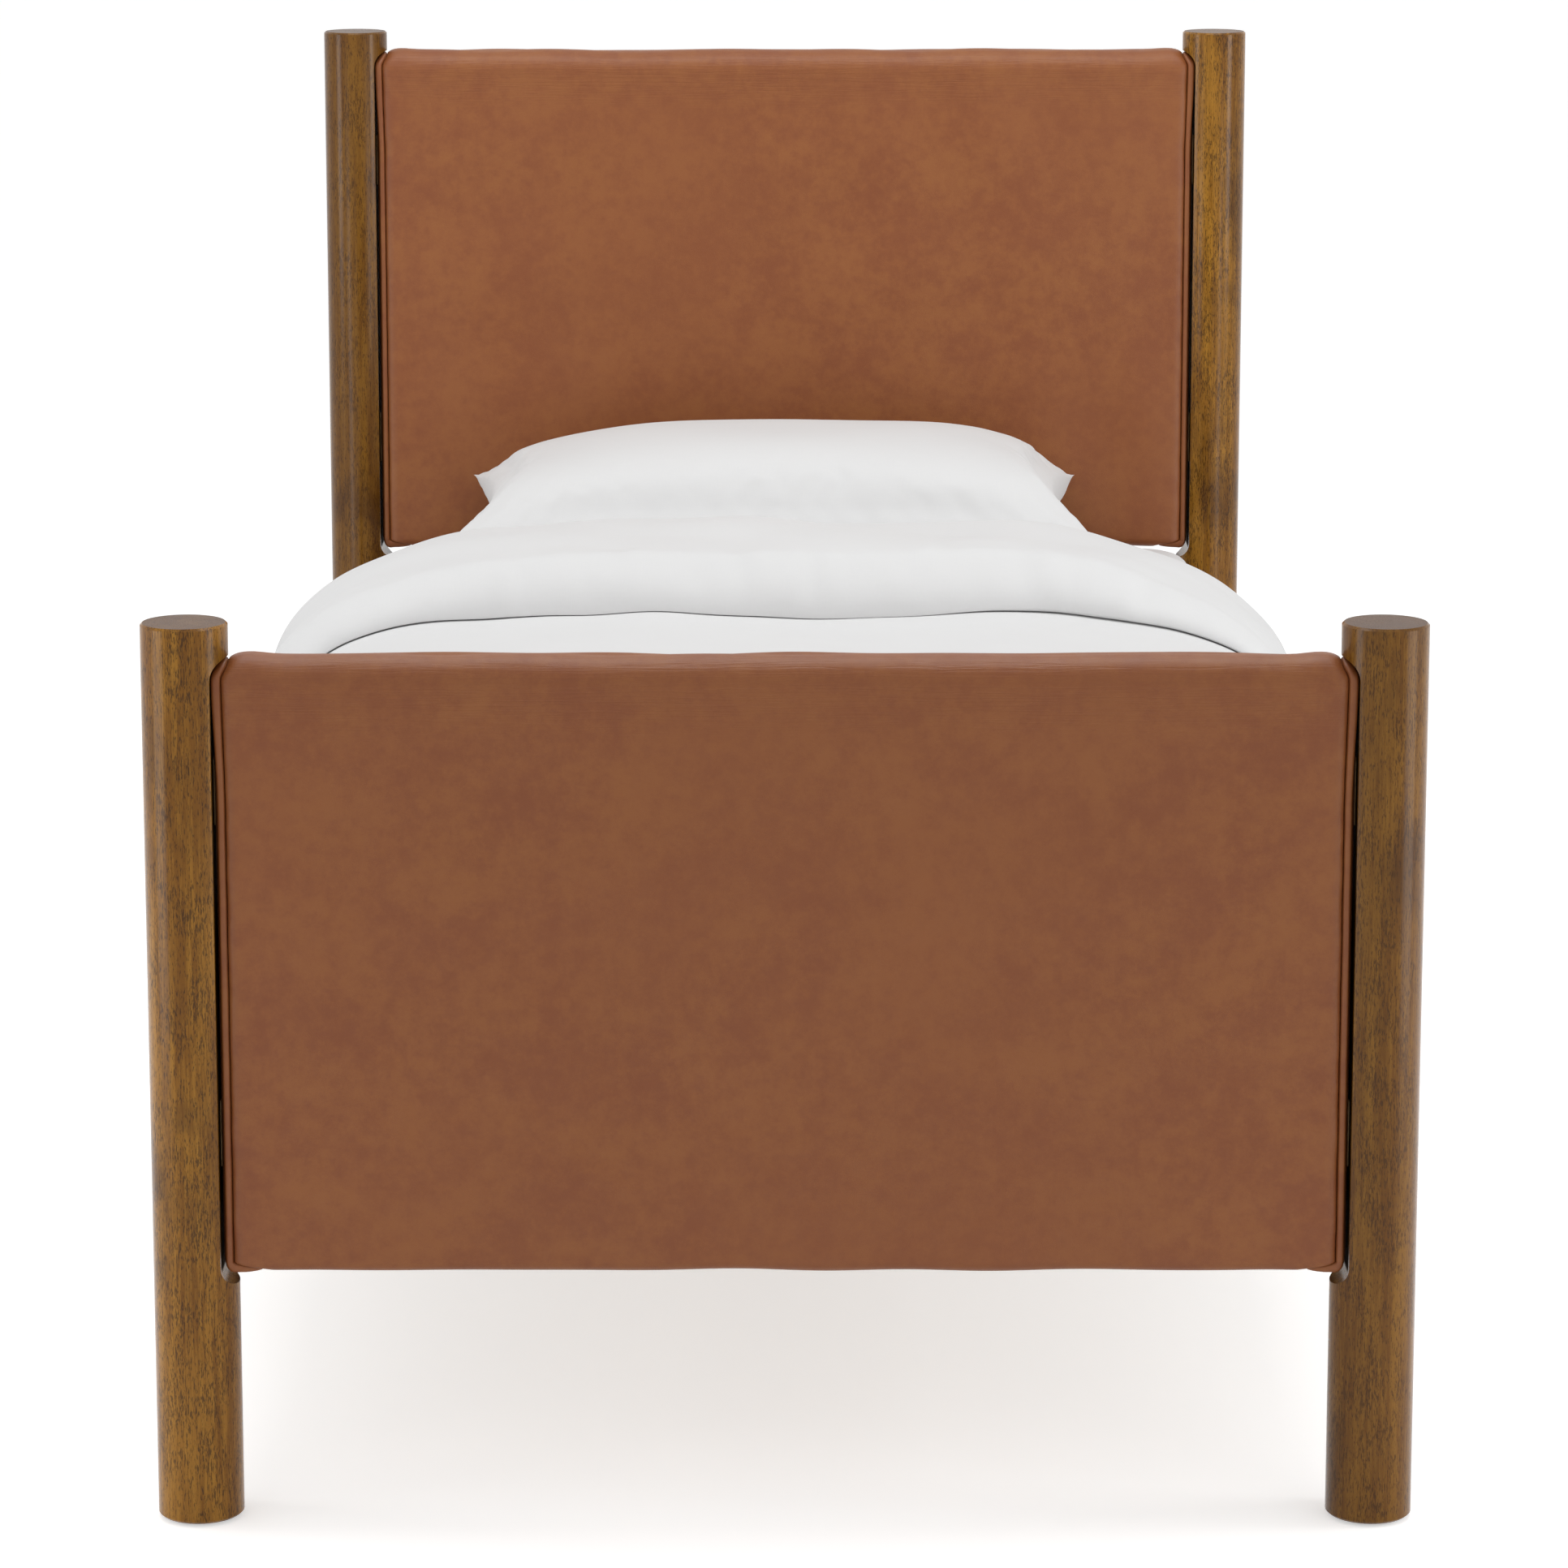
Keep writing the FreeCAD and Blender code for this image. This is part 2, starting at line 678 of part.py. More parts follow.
def make_rail(doc, dim):
    """The right side rail: long edges bevelled, ends let in for the hook plates."""
    body = new_body(doc, "side_rail_right")
    half = dim.rail_thickness / 2
    box(body, "Additive", "side_rail_board",
        (dim.rail_x - half, -dim.rail_half_length, dim.rail_bottom),
        (dim.rail_x + half, dim.rail_half_length, dim.rail_top))
    ease(body, "side_rail_edges", runs_along("y"), dim.rail_edge_bevel)
    plate_half = dim.plate_width / 2
    for name, end in (("head", 1), ("foot", -1)):
        box(body, "Subtractive", f"side_rail_{name}_seat",
            (dim.rail_x - plate_half, end * (dim.rail_half_length - dim.plate_thickness),
             dim.plate_bottom),
            (dim.rail_x + plate_half, end * (dim.rail_half_length + dim.overrun),
             dim.plate_bottom + dim.plate_height))
    return body


def make_ledge(doc, dim):
    """The right slat ledge, fixed along the inside of its rail."""
    body = new_body(doc, "slat_ledge_right")
    box(body, "Additive", "slat_ledge_strip",
        (dim.rail_inner_x - dim.ledge_width, -dim.ledge_half_length,
         dim.ledge_top - dim.ledge_height),
        (dim.rail_inner_x, dim.ledge_half_length, dim.ledge_top))
    middle = (dim.rail_inner_x - dim.ledge_width / 2).value
    along = runs_along("y")
    ease(body, "slat_ledge_edges", lambda edge: along(edge) and edge.BoundBox.XMax < middle,
         dim.ledge_edge_bevel)
    return body


def make_slat(doc, dim, number):
    """One slat, resting on both ledges and the centre rail."""
    label = f"slat_{number + 1:02d}"
    body = new_body(doc, label)
    middle = number / (SLAT_COUNT - 1) * dim.slat_run - dim.slat_run / 2
    half = dim.slat_width / 2
    box(body, "Additive", f"{label}_board", (-dim.slat_half_length, middle - half, dim.ledge_top),
        (dim.slat_half_length, middle + half, dim.slat_top))
    ease(body, f"{label}_edges", runs_along("x"), dim.slat_edge_bevel)
    return body


def make_strap(doc, dim):
    """The right webbing strap, stapled along under the slats to keep them spaced."""
    body = new_body(doc, "slat_strap_right")
    half = dim.strap_width / 2
    reach = dim.slat_run / 2 + dim.slat_width / 2 - dim.strap_end_gap
    middle = dim.strap_spacing / 2
    box(body, "Additive", "slat_strap_webbing",
        (middle - half, -reach, dim.ledge_top - dim.strap_thickness),
        (middle + half, reach, dim.ledge_top))
    return body


# Cross rail, cleat, centre rail and legs

def make_cross_rail_tenons(doc, dim):
    """Two loose tenons that join the head cross rail to the head posts."""
    face = dim.post_x - dim.post_radius
    tenon = make_tenon(doc, dim, "cross_rail_tenon", face - dim.tenon_in_core, face, 1,
                       dim.cross_rail_middle)
    left = mirrored(doc, tenon, "cross_rail_tenon_left", ACROSS)
    return group(doc, "cross_rail_tenons", [tenon, left])


def make_cross_rail(doc, dim, tenons):
    """Cross rail between the head posts, its ends coped to the round of the posts."""
    body = new_body(doc, "head_cross_rail_body")
    half = dim.cross_rail_thickness / 2
    low = dim.ledge_top - dim.cross_rail_height
    box(body, "Additive", "head_cross_rail_board", (-dim.post_x, dim.post_y - half, low),
        (dim.post_x, dim.post_y + half, dim.ledge_top))
    ease(body, "head_cross_rail_edges", runs_along("x"), dim.cross_rail_edge_bevel)
    for name, way in (("right", 1), ("left", -1)):
        below = (way * dim.post_x, dim.post_y, low - dim.overrun)
        rod(body, "Subtractive", f"head_cross_rail_{name}_cope", below, "z",
            dim.post_radius + dim.cope_gap, dim.cross_rail_height + 2 * dim.overrun)
    return cut(doc, "head_cross_rail", body, [tenons])


def make_cleat(doc, dim):
    """Cleat across the inside of the footboard; it carries the centre rail's foot end."""
    body = new_body(doc, "foot_cleat")
    half = dim.rail_inner_x - dim.ledge_width - dim.cleat_end_gap
    box(body, "Additive", "foot_cleat_strip", (-half, dim.cleat_y, dim.ledge_top - dim.cleat_height),
        (half, dim.cleat_face_y, dim.ledge_top))
    middle = (dim.cleat_y + dim.cleat_thickness / 2).value
    ease(body, "foot_cleat_edges", lambda edge: edge.BoundBox.YMin > middle, dim.ledge_edge_bevel)
    return body


def make_hanger(doc, dim, label, face, way):
    """A folded steel hanger: a U under the centre rail with a flange each side."""
    body = new_body(doc, label)
    half = dim.centre_rail_width / 2
    outer = half + dim.hanger_thickness
    low = dim.centre_rail_bottom - dim.hanger_thickness
    high = dim.centre_rail_bottom + dim.hanger_height
    box(body, "Additive", f"{label}_saddle", (-outer, face, low),
        (outer, face - way * dim.hanger_depth, high))
    flange = outer + dim.hanger_flange
    box(body, "Additive", f"{label}_flanges", (-flange, face, low),
        (flange, face - way * dim.hanger_thickness, high))
    box(body, "Subtractive", f"{label}_mouth",
        (-half, face + way * dim.overrun, dim.centre_rail_bottom),
        (half, face - way * (dim.hanger_depth + dim.overrun), high + dim.overrun))
    return body


def make_centre_rail(doc, dim):
    """Centre rail under the slats, carried by two hangers and two legs."""
    body = new_body(doc, "centre_rail")
    half = dim.centre_rail_width / 2
    box(body, "Additive", "centre_rail_beam",
        (-half, dim.cleat_face_y + dim.centre_rail_end_gap, dim.centre_rail_bottom),
        (half, dim.cross_face_y - dim.centre_rail_end_gap, dim.ledge_top))
    return body


def make_insert(doc, dim, label, spot):
    """Flanged threaded insert in the foot of a leg."""
    body = new_body(doc, label)
    foot = (ZERO, spot, dim.leg_foot_height)
    rod(body, "Additive", f"{label}_sleeve", foot, "z", dim.insert_diameter / 2, dim.insert_length)
    flange_foot = (ZERO, spot, dim.leg_foot_height - dim.insert_flange)
    rod(body, "Additive", f"{label}_flange", flange_foot, "z", dim.insert_flange_diameter / 2,
        dim.insert_flange)
    below = (ZERO, spot, dim.leg_foot_height - dim.overrun)
    rod(body, "Subtractive", f"{label}_bore", below, "z", dim.stud_diameter / 2 + dim.stud_clearance,
        dim.insert_length + 2 * dim.overrun)
    return body


def make_leg(doc, dim, label, spot):
    """Tapered round leg, bored for its insert and for the studs' travel."""
    body = new_body(doc, label)
    foot = (ZERO, spot, dim.leg_foot_height)
    cone(body, "Additive", f"{label}_taper", foot, "z", dim.leg_foot_diameter / 2,
         dim.leg_top_diameter / 2, dim.centre_rail_bottom - dim.leg_foot_height)
    well = (ZERO, spot, dim.leg_foot_height - dim.overrun)
    stud_top = dim.pad_height - dim.pad_socket_depth + dim.stud_length
    rod(body, "Subtractive", f"{label}_well", well, "z", dim.insert_diameter / 2,
        stud_top + dim.stud_well_room - well[2])
    return body


def make_stud(doc, dim, label, spot):
    """Levelling stud with a hexagon to turn it, standing in the socket of its pad."""
    body = new_body(doc, label)
    foot = (ZERO, spot, dim.pad_height - dim.pad_socket_depth)
    rod(body, "Additive", f"{label}_shank", foot, "z", dim.stud_diameter / 2, dim.stud_length)
    nut = body.newObject("PartDesign::AdditivePrism", f"{label}_nut")
    nut.Polygon = 6
    bind(nut, Circumradius=dim.stud_nut_width / math.sqrt(3), Height=dim.stud_nut_height)
    place(nut, (ZERO, spot, dim.nut_bottom))
    return body


def make_pad(doc, dim, label, spot):
    """Levelling pad: a domed foot turned from its half section, with a socket for the stud."""
    body = new_body(doc, label)
    sketch = new_sketch(body, "XZ_Plane", f"{label}_half_section", -spot)
    socket = dim.stud_diameter / 2 + dim.stud_clearance
    floor = dim.pad_height - dim.pad_socket_depth
    outline(sketch, (
        (ZERO, ZERO), (dim.pad_diameter / 2, ZERO), (dim.pad_diameter / 2, dim.pad_rim_height),
        (dim.pad_top_diameter / 2, dim.pad_height), (socket, dim.pad_height), (socket, floor),
        (ZERO, floor),
    ))
    turned = body.newObject("PartDesign::Revolution", f"{label}_turned")
    turned.Profile = sketch
    turned.ReferenceAxis = (sketch, ["V_Axis"])
    turned.Angle = 360
    return body


# Bedding

def rounded_rectangle(half_x, half_y, radius, level):
    """Closed wire of four lines and four quarter arcs at one height."""
    bend = radius * (1 - math.sqrt(0.5))
    edges = []
    corners = ((1, 1), (-1, 1), (-1, -1), (1, -1))
    for n, (sx, sy) in enumerate(corners):
        on_x = Vector(sx * half_x, sy * (half_y - radius), level)
        on_y = Vector(sx * (half_x - radius), sy * half_y, level)
        middle = Vector(sx * (half_x - bend), sy * (half_y - bend), level)
        start, end = (on_x, on_y) if n % 2 == 0 else (on_y, on_x)
        if edges:
            edges.append(Part.LineSegment(edges[-1].lastVertex().Point, start).toShape())
        edges.append(Part.Arc(start, middle, end).toShape())
    first = edges[0].firstVertex().Point
    edges.append(Part.LineSegment(edges[-1].lastVertex().Point, first).toShape())
    return Part.Wire(edges)


def soft_feature(doc, label, shape):
    """Keep a soft form as a plain feature of the document."""
    feature = doc.addObject("Part::Feature", label)
    feature.Label = label
    feature.Shape = shape
    feature.Placement = Placement()
    return feature


def mattress_form(dim, grown=0):
    """Loft through rounded rectangles: soft edges, a drawn-in waist and a crowned top.

    Grown stands the sides and the top out, for the room that the mattress takes in what covers it.
    """
    half_x = dim.mattress_width.value / 2 + grown
    half_y = dim.mattress_length.value / 2 + grown
    low, high = dim.mattress_bottom.value, dim.mattress_shoulder.value + grown
    edge, corner = dim.mattress_edge.value, dim.mattress_corner_radius.value
    rings = []
    for level, inset in zip(MATTRESS_LEVEL_SHARES, MATTRESS_INSET_SHARES):
        rings.append((low + level * edge, inset * edge))
    rings.append(((low + high) / 2, dim.mattress_waist.value))
    for level, inset in zip(reversed(MATTRESS_LEVEL_SHARES), reversed(MATTRESS_INSET_SHARES)):
        rings.append((high - level * edge, inset * edge))
    wires = [
        rounded_rectangle(half_x - inset, half_y - inset, corner - inset, level)
        for level, inset in rings
    ]
    body = Part.makeLoft(wires, True, True)
    crown_inset = CROWN_INSET_SHARE * dim.mattress_width.value
    crown = Part.makeLoft([
        rounded_rectangle(half_x - edge, half_y - edge, corner - edge, high),
        rounded_rectangle(half_x - crown_inset, half_y - crown_inset, corner - edge,
                          high + dim.mattress_crown.value),
    ], True, True)
    return body.fuse(crown).removeSplitter()


def duvet_wire(dim, place_y, lift, wave):
    """Closed cross-section of the duvet: over the mattress, round its edges and down to the hem.

    The lift raises the outer side for the folded band; the wave pushes the hanging sides out.
    """
    half = dim.mattress_width.value / 2
    top = dim.mattress_top.value + dim.duvet_crown.value + lift
    shoulder = dim.mattress_top.value + lift - (dim.duvet_edge_drop.value - dim.duvet_crown.value)
    outside = dim.rail_inner_x.value + dim.rail_thickness.value
    inner = outside + dim.duvet_rail_gap.value + dim.duvet_wave.value + wave
    reach = inner + dim.duvet_thickness.value + BAND_SIDE_SHARE * lift
    bend = (shoulder + dim.rail_top.value) / 2
    hem = dim.duvet_hem_height.value
    inner_top = dim.mattress_shoulder.value - dim.mattress_edge.value
    buried = half - dim.mattress_edge.value

    def at(x, z):
        return Vector(x, place_y, z)

    def side(sign):
        knee = at(sign * (half + (reach - half) * KNEE_SHARE), (shoulder + bend) / 2)
        outer = Part.Arc(at(sign * half, shoulder), knee, at(sign * reach, bend)).toShape()
        drop = Part.LineSegment(at(sign * reach, bend), at(sign * reach, hem)).toShape()
        foot = Part.LineSegment(at(sign * reach, hem), at(sign * inner, hem)).toShape()
        rise = Part.LineSegment(at(sign * inner, hem), at(sign * inner, bend)).toShape()
        turn = Part.LineSegment(at(sign * inner, bend), at(sign * buried, inner_top)).toShape()
        return [outer, drop, foot, rise, turn]

    crown = Part.Arc(at(-half, shoulder), at(0, top), at(half, shoulder)).toShape()
    under = Part.LineSegment(at(buried, inner_top), at(-buried, inner_top)).toShape()
    right, left = side(1), side(-1)
    return Part.Wire(Part.__sortEdges__([crown] + right + [under] + left))


def duvet_form(dim):
    """Loft of the hanging duvet with its main folds, its folded band, less the mattress."""
    foot = dim.duvet_foot_inset.value - dim.mattress_length.value / 2
    fold = (dim.mattress_length / 2 - dim.duvet_head_gap).value
    pitch, wave = dim.duvet_wave_pitch.value, dim.duvet_wave.value
    wires = []
    for n in range(DUVET_SECTION_COUNT):
        spot = foot + (fold - foot) * n / (DUVET_SECTION_COUNT - 1)
        swing = wave * math.sin(2 * math.pi * (spot - foot) / pitch)
        wires.append(duvet_wire(dim, spot, 0, swing))
    sheet = Part.makeLoft(wires, True, True)
    band_start = fold - dim.duvet_fold_depth.value
    thick = dim.duvet_roll_thickness.value
    band_wires = []
    for place_share, lift_share in zip(BAND_PLACE_SHARES, BAND_LIFT_SHARES):
        spot = band_start + place_share * dim.duvet_fold_depth.value
        band_wires.append(duvet_wire(dim, spot, lift_share * thick, wave))
    band = Part.makeLoft(band_wires, True, True)
    room = mattress_form(dim, dim.bedding_gap.value)
    return sheet.fuse(band).cut(room).removeSplitter()


def pillow_form(dim):
    """Loft of two-arc sections: thin pulled-out corners, a high crown and a soft belly."""
    half_width = dim.pillow_width.value / 2
    middle = (dim.panel_inner_y - dim.pillow_head_gap - dim.pillow_depth / 2).value
    level = dim.mattress_top.value + dim.pillow_seam_lift.value
    wires = []
    for share in PILLOW_PLACE_SHARES:
        swell = math.sqrt(max(0, 1 - share * share))
        half_depth = dim.pillow_depth.value / 2 - dim.pillow_pull.value * swell
        up = dim.pillow_edge.value + dim.pillow_crown.value * swell
        down = dim.pillow_edge.value + dim.pillow_belly.value * swell
        x = share * half_width
        front, back = Vector(x, middle - half_depth, level), Vector(x, middle + half_depth, level)
        over = Part.Arc(front, Vector(x, middle, level + up), back).toShape()
        under = Part.Arc(back, Vector(x, middle, level - down), front).toShape()
        wires.append(Part.Wire([over, under]))
    return Part.makeLoft(wires, True, True).cut(mattress_form(dim, dim.bedding_gap.value))


# The whole bed

def build(doc, dim):
    """Make every sub-part and return the ones to write out."""
    headboard = (dim.headboard_bottom, dim.headboard_top)
    footboard = (dim.footboard_bottom, dim.footboard_top)
    pieces = []
    posts = (
        ("head_post", 1, dim.head_post_top, headboard),
        ("foot_post", -1, dim.foot_post_top, footboard),
    )
    for name, end, top, panel in posts:
        post = make_post(doc, dim, name, end, top, panel)
        pieces += [post, mirrored(doc, post, f"{name}_left", ACROSS)]
    pieces.append(make_glides(doc, dim))
    pieces += make_panel(doc, dim, "headboard", headboard, 1)
    pieces += make_panel(doc, dim, "footboard", footboard, -1)

    for piece, label in ((make_rail(doc, dim), "side_rail"), (make_ledge(doc, dim), "slat_ledge"),
                         (make_strap(doc, dim), "slat_strap")):
        pieces += [piece, mirrored(doc, piece, f"{label}_left", ACROSS)]
    plates, hooks = [], []
    for name, end in (("head", 1), ("foot", -1)):
        plate = make_post_plate(doc, dim, name, end)
        hook = make_hook_plate(doc, dim, name, end)
        for members, member in ((plates, plate), (hooks, hook)):
            members += [member, mirrored(doc, member, f"{member.Label}_left", ACROSS)]
    pieces.append(group(doc, "post_plates", plates))
    pieces.append(group(doc, "rail_hook_plates", hooks))
    pieces += [make_slat(doc, dim, number) for number in range(SLAT_COUNT)]

    tenons = make_cross_rail_tenons(doc, dim)
    pieces += [tenons, make_cross_rail(doc, dim, tenons), make_cleat(doc, dim)]
    pieces.append(make_hanger(doc, dim, "centre_hanger_head", dim.cross_face_y, 1))
    pieces.append(make_hanger(doc, dim, "centre_hanger_foot", dim.cleat_face_y, -1))
    inserts = []
    for name, spot in (("front", dim.front_leg_place), ("rear", dim.rear_leg_place)):
        inserts.append(make_insert(doc, dim, f"{name}_leg_insert", spot))
        pieces.append(make_leg(doc, dim, f"centre_leg_{name}", spot))
        pieces.append(make_stud(doc, dim, f"leveller_stud_{name}", spot))
        pieces.append(make_pad(doc, dim, f"leveller_pad_{name}", spot))
    pieces.append(group(doc, "leg_inserts", inserts))
    pieces.append(make_centre_rail(doc, dim))

    for label, form in (("mattress", mattress_form), ("duvet", duvet_form), ("pillow", pillow_form)):
        pieces.append(soft_feature(doc, label, form(dim)))
    return pieces


def check(doc, pieces):
    """Stop on any object that failed to build and on any empty or broken shape."""
    for item in doc.Objects:
        if "Invalid" in item.State or "Error" in item.State:
            raise RuntimeError(f"{item.Name} did not build")
    for piece in pieces:
        if piece.Shape.isNull() or not piece.Shape.isValid():
            raise RuntimeError(f"{piece.Label} has no valid shape")


def write(pieces):
    """Write each sub-part as a STEP file under its label."""
    os.makedirs("parts", exist_ok=True)
    for piece in pieces:
        piece.Shape.exportStep(f"parts/{piece.Label}.step")


def main():
    doc = FreeCAD.newDocument("platform_bed")
    dim = work_out(make_sheet(doc))
    pieces = build(doc, dim)
    doc.recompute()
    check(doc, pieces)
    write(pieces)


main()
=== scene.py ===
import json
import math

import bmesh
import bpy
import numpy as np
from bpy.props import FloatProperty, FloatVectorProperty, PointerProperty
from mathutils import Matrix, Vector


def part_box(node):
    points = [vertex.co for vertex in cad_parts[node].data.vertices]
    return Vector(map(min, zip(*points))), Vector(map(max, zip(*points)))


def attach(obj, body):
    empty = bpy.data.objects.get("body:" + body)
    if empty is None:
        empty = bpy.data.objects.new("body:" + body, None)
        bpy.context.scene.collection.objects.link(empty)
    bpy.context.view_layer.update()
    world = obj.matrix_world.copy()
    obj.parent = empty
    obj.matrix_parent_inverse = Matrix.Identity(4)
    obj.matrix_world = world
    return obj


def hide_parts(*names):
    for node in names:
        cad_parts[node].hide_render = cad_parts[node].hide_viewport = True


bl_info = {
    "name": "Twin platform bed",
    "version": (1, 0, 0),
    "blender": (4, 5, 0),
    "location": "3D View > Sidebar > Bed",
    "description": "Dresses the frame of a twin bed with leather, bedding and wood finishes",
    "category": "Object",
}

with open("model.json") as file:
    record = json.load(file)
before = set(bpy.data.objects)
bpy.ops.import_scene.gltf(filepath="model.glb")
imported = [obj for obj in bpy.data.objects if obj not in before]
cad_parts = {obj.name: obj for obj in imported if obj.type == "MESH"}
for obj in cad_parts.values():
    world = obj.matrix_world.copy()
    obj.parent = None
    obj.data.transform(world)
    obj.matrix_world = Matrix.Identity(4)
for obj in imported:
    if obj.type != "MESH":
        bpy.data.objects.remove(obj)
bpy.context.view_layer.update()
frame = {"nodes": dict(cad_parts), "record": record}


# Sizes and colours

def length(name, description, default):
    """A length property in metres."""
    return FloatProperty(name=name, description=description, default=default, unit="LENGTH")


def colour(name, description, default):
    """A colour property in linear light."""
    return FloatVectorProperty(name=name, description=description, default=default, size=3,
                               subtype="COLOR", min=0.0, max=1.0)


class BedPanelSizes(bpy.types.PropertyGroup):
    """Sizes of the padded leather panels"""

    face_roll: length("Face roll", "Width of a face's roll into its end seam", 0.011)
    face_depth: length("Face seam depth", "How deep the end seam lies below a face", 0.0062)
    top_roll: length("Top roll", "Width of the top edge's roll into the seam", 0.014)
    top_depth: length("Top seam depth", "How deep the end seam lies below the top edge", 0.0055)
    strip_width: length("End strip width", "Width of the end piece at a panel's top", 0.0088)
    strip_tuck: length("End strip tuck", "How far the end piece runs in below a panel", 0.027)
    end_draw: length("End draw-in", "How far an end draws in below its top", 0.0038)
    face_crown: length("Face crown", "How far a face swells at its middle", 0.0022)


class BedLinenSizes(bpy.types.PropertyGroup):
    """Sizes of the bedding"""

    duvet_foot: length("Duvet foot", "Where the duvet starts behind the footboard", -0.942)
    duvet_turn: length("Duvet turn", "Where the duvet turns back on itself", 0.424)
    band_front: length("Band front", "Where the turned-back band ends", 0.163)
    pillow_width: length("Pillow width", "Width of the finished pillow", 0.736)
    pillow_depth: length("Pillow depth", "Depth of the finished pillow", 0.466)
    pillow_crown: length("Pillow crown", "Height of the pillow above its seam", 0.095)


class BedColours(bpy.types.PropertyGroup):
    """Colours of the finishes"""

    leather: colour("Leather", "Main colour of the leather", (0.235, 0.0735, 0.0215))
    leather_pale: colour("Leather, pale", "Paler clouds in the leather", (0.264, 0.0905, 0.0245))
    leather_dark: colour("Leather, dark", "Darker clouds in the leather", (0.208, 0.0605, 0.0185))
    stain: colour("Stained wood", "Main colour of the stained wood", (0.184, 0.070, 0.0035))
    stain_gold: colour("Stained wood, golden", "Golden streaks of the wood", (0.350, 0.160, 0.017))
    stain_dark: colour("Stained wood, dark", "Dark figure of the wood", (0.062, 0.021, 0.002))
    pine: colour("Pine", "Main colour of slats and ledges", (0.58, 0.38, 0.19))
    linen: colour("Linen", "White of the bedding", (0.67, 0.67, 0.67))
    floor: colour("Floor", "Pale floor", (0.90, 0.90, 0.90))


# Node maths

class Wire:
    """One socket of a node tree; sums on wires add the nodes that work them out."""

    def __init__(self, tree, socket=None):
        self.tree = tree
        self.socket = socket

    def node(self, kind, settings=None, sockets=None, out=0):
        """Add a shader node: its settings first, then the values or links of its sockets."""
        made = self.tree.nodes.new("ShaderNode" + kind)
        for name, value in (settings or {}).items():
            setattr(made, name, value)
        plug(made, sockets or {})
        return Wire(self.tree, made.outputs[out])

    def math(self, operation, first, second=0.0):
        return self.node("Math", {"operation": operation}, {0: first, 1: second})

    def __add__(self, other):
        return self.math("ADD", self, other)

    def __sub__(self, other):
        return self.math("SUBTRACT", self, other)

    def __rsub__(self, other):
        return self.math("SUBTRACT", other, self)

    def __mul__(self, other):
        return self.math("MULTIPLY", self, other)

    def __abs__(self):
        return self.math("ABSOLUTE", self)

    __radd__ = __add__
    __rmul__ = __mul__


def plug(node, sockets):
    """Link wires to a node's sockets, or set the sockets' own values."""
    for name, value in sockets.items():
        if isinstance(value, Wire):
            node.id_data.links.new(value.socket, node.inputs[name])
        else:
            node.inputs[name].default_value = value


def feed(shader, **sockets):
    """Plug values into a shader's sockets, named with an underscore for each space."""
    plug(shader, {name.replace("_", " "): value for name, value in sockets.items()})


def rise(value, low, high):
    """0 below low, 1 above high, smooth between."""
    return value.node("MapRange", {"interpolation_type": "SMOOTHSTEP"},
                      {"Value": value, "From Min": low, "From Max": high})


def noise(at, scale, detail=3.0, roughness=0.5, stretch=None):
    """Soft noise from 0 to 1, drawn out by a stretch along the axes."""
    if stretch:
        at = at.node("Mapping", None, {"Vector": at, "Scale": stretch})
    return at.node("TexNoise", None, {"Vector": at, "Scale": scale, "Detail": detail,
                                      "Roughness": roughness})


def mixed(factor, first, second):
    """Colour between two, by a factor."""
    first, second = (tone if isinstance(tone, Wire) else (*tone, 1.0) for tone in (first, second))
    return factor.node("Mix", {"data_type": "RGBA"}, {0: factor, 6: first, 7: second}, out=2)


def shaded(tone, share):
    """A colour made darker, by a share of its light."""
    return tuple(share * part for part in tone)


def part_of(vector, letter):
    """One part of a vector: X, Y or Z."""
    return vector.node("SeparateXYZ", None, {"Vector": vector}, out=letter)


def waves(at, across, scale, distortion):
    """Wavy bands across one axis."""
    return at.node("TexWave", {"bands_direction": across},
                   {"Vector": at, "Scale": scale, "Distortion": distortion}, out="Fac")


def new_finish(name):
    """Start a material; return it, a wire on its object coordinates and its shader node."""
    finish = bpy.data.materials.new(name)
    finish.use_nodes = True
    at = Wire(finish.node_tree).node("TexCoord", out="Object")
    return finish, at, finish.node_tree.nodes["Principled BSDF"]


def bumped(height, strength, distance):
    """Normal bent by a height."""
    return height.node("Bump", None, {"Height": height, "Strength": strength,
                                      "Distance": distance})


# Finishes

PANEL_HALF = 0.026  # half the thickness of a padded panel
PANEL_GAP = 0.0004  # between a panel's end and the flat of its post
FLAT_HALF, FLAT_FADE = 0.020, 0.0275  # where the painted shade on a post's flat starts and ends to fade


def leather_finish(tones):
    """Smooth brown leather: cloudy tone, fine grain, and fine creases where a crease map asks."""
    finish, at, shader = new_finish("dyed_leather")
    cloud = noise(at, 13.0, 6.0, 0.72)
    patch = noise(at, 66.0, 5.0, 0.70)
    tone = mixed(rise(cloud * 0.6 + patch * 0.4, 0.36, 0.64),
                 tones.leather_dark, tones.leather_pale)
    tone = mixed(rise(noise(at, 3.1, 2.0), 0.35, 0.7) * 0.4, tone, tones.leather)
    grain = at.node("TexVoronoi", {"feature": "DISTANCE_TO_EDGE"},
                    {"Vector": at, "Scale": 780.0}, out="Distance")
    pebble = rise(grain, 0.0, 0.22)
    crease = at.node("Attribute", {"attribute_name": "crease"}, out="Fac")
    lines = noise(at, 1.0, 3.0, 0.55, (7.0, 60.0, 210.0))
    fold = rise(abs(lines - 0.5), 0.0, 0.09)
    ripple = noise(at, 1.0, 3.0, 0.55, (120.0, 120.0, 420.0))
    height = pebble * 0.16 + fold * crease * 0.75 + noise(at, 90.0, 3.0) * 0.25 + ripple * 0.2
    feed(shader, Base_Color=tone, Roughness=0.36 + noise(at, 60.0, 3.0) * 0.16,
         Normal=bumped(height, 0.24, 0.0012), Specular_IOR_Level=0.36)
    return finish


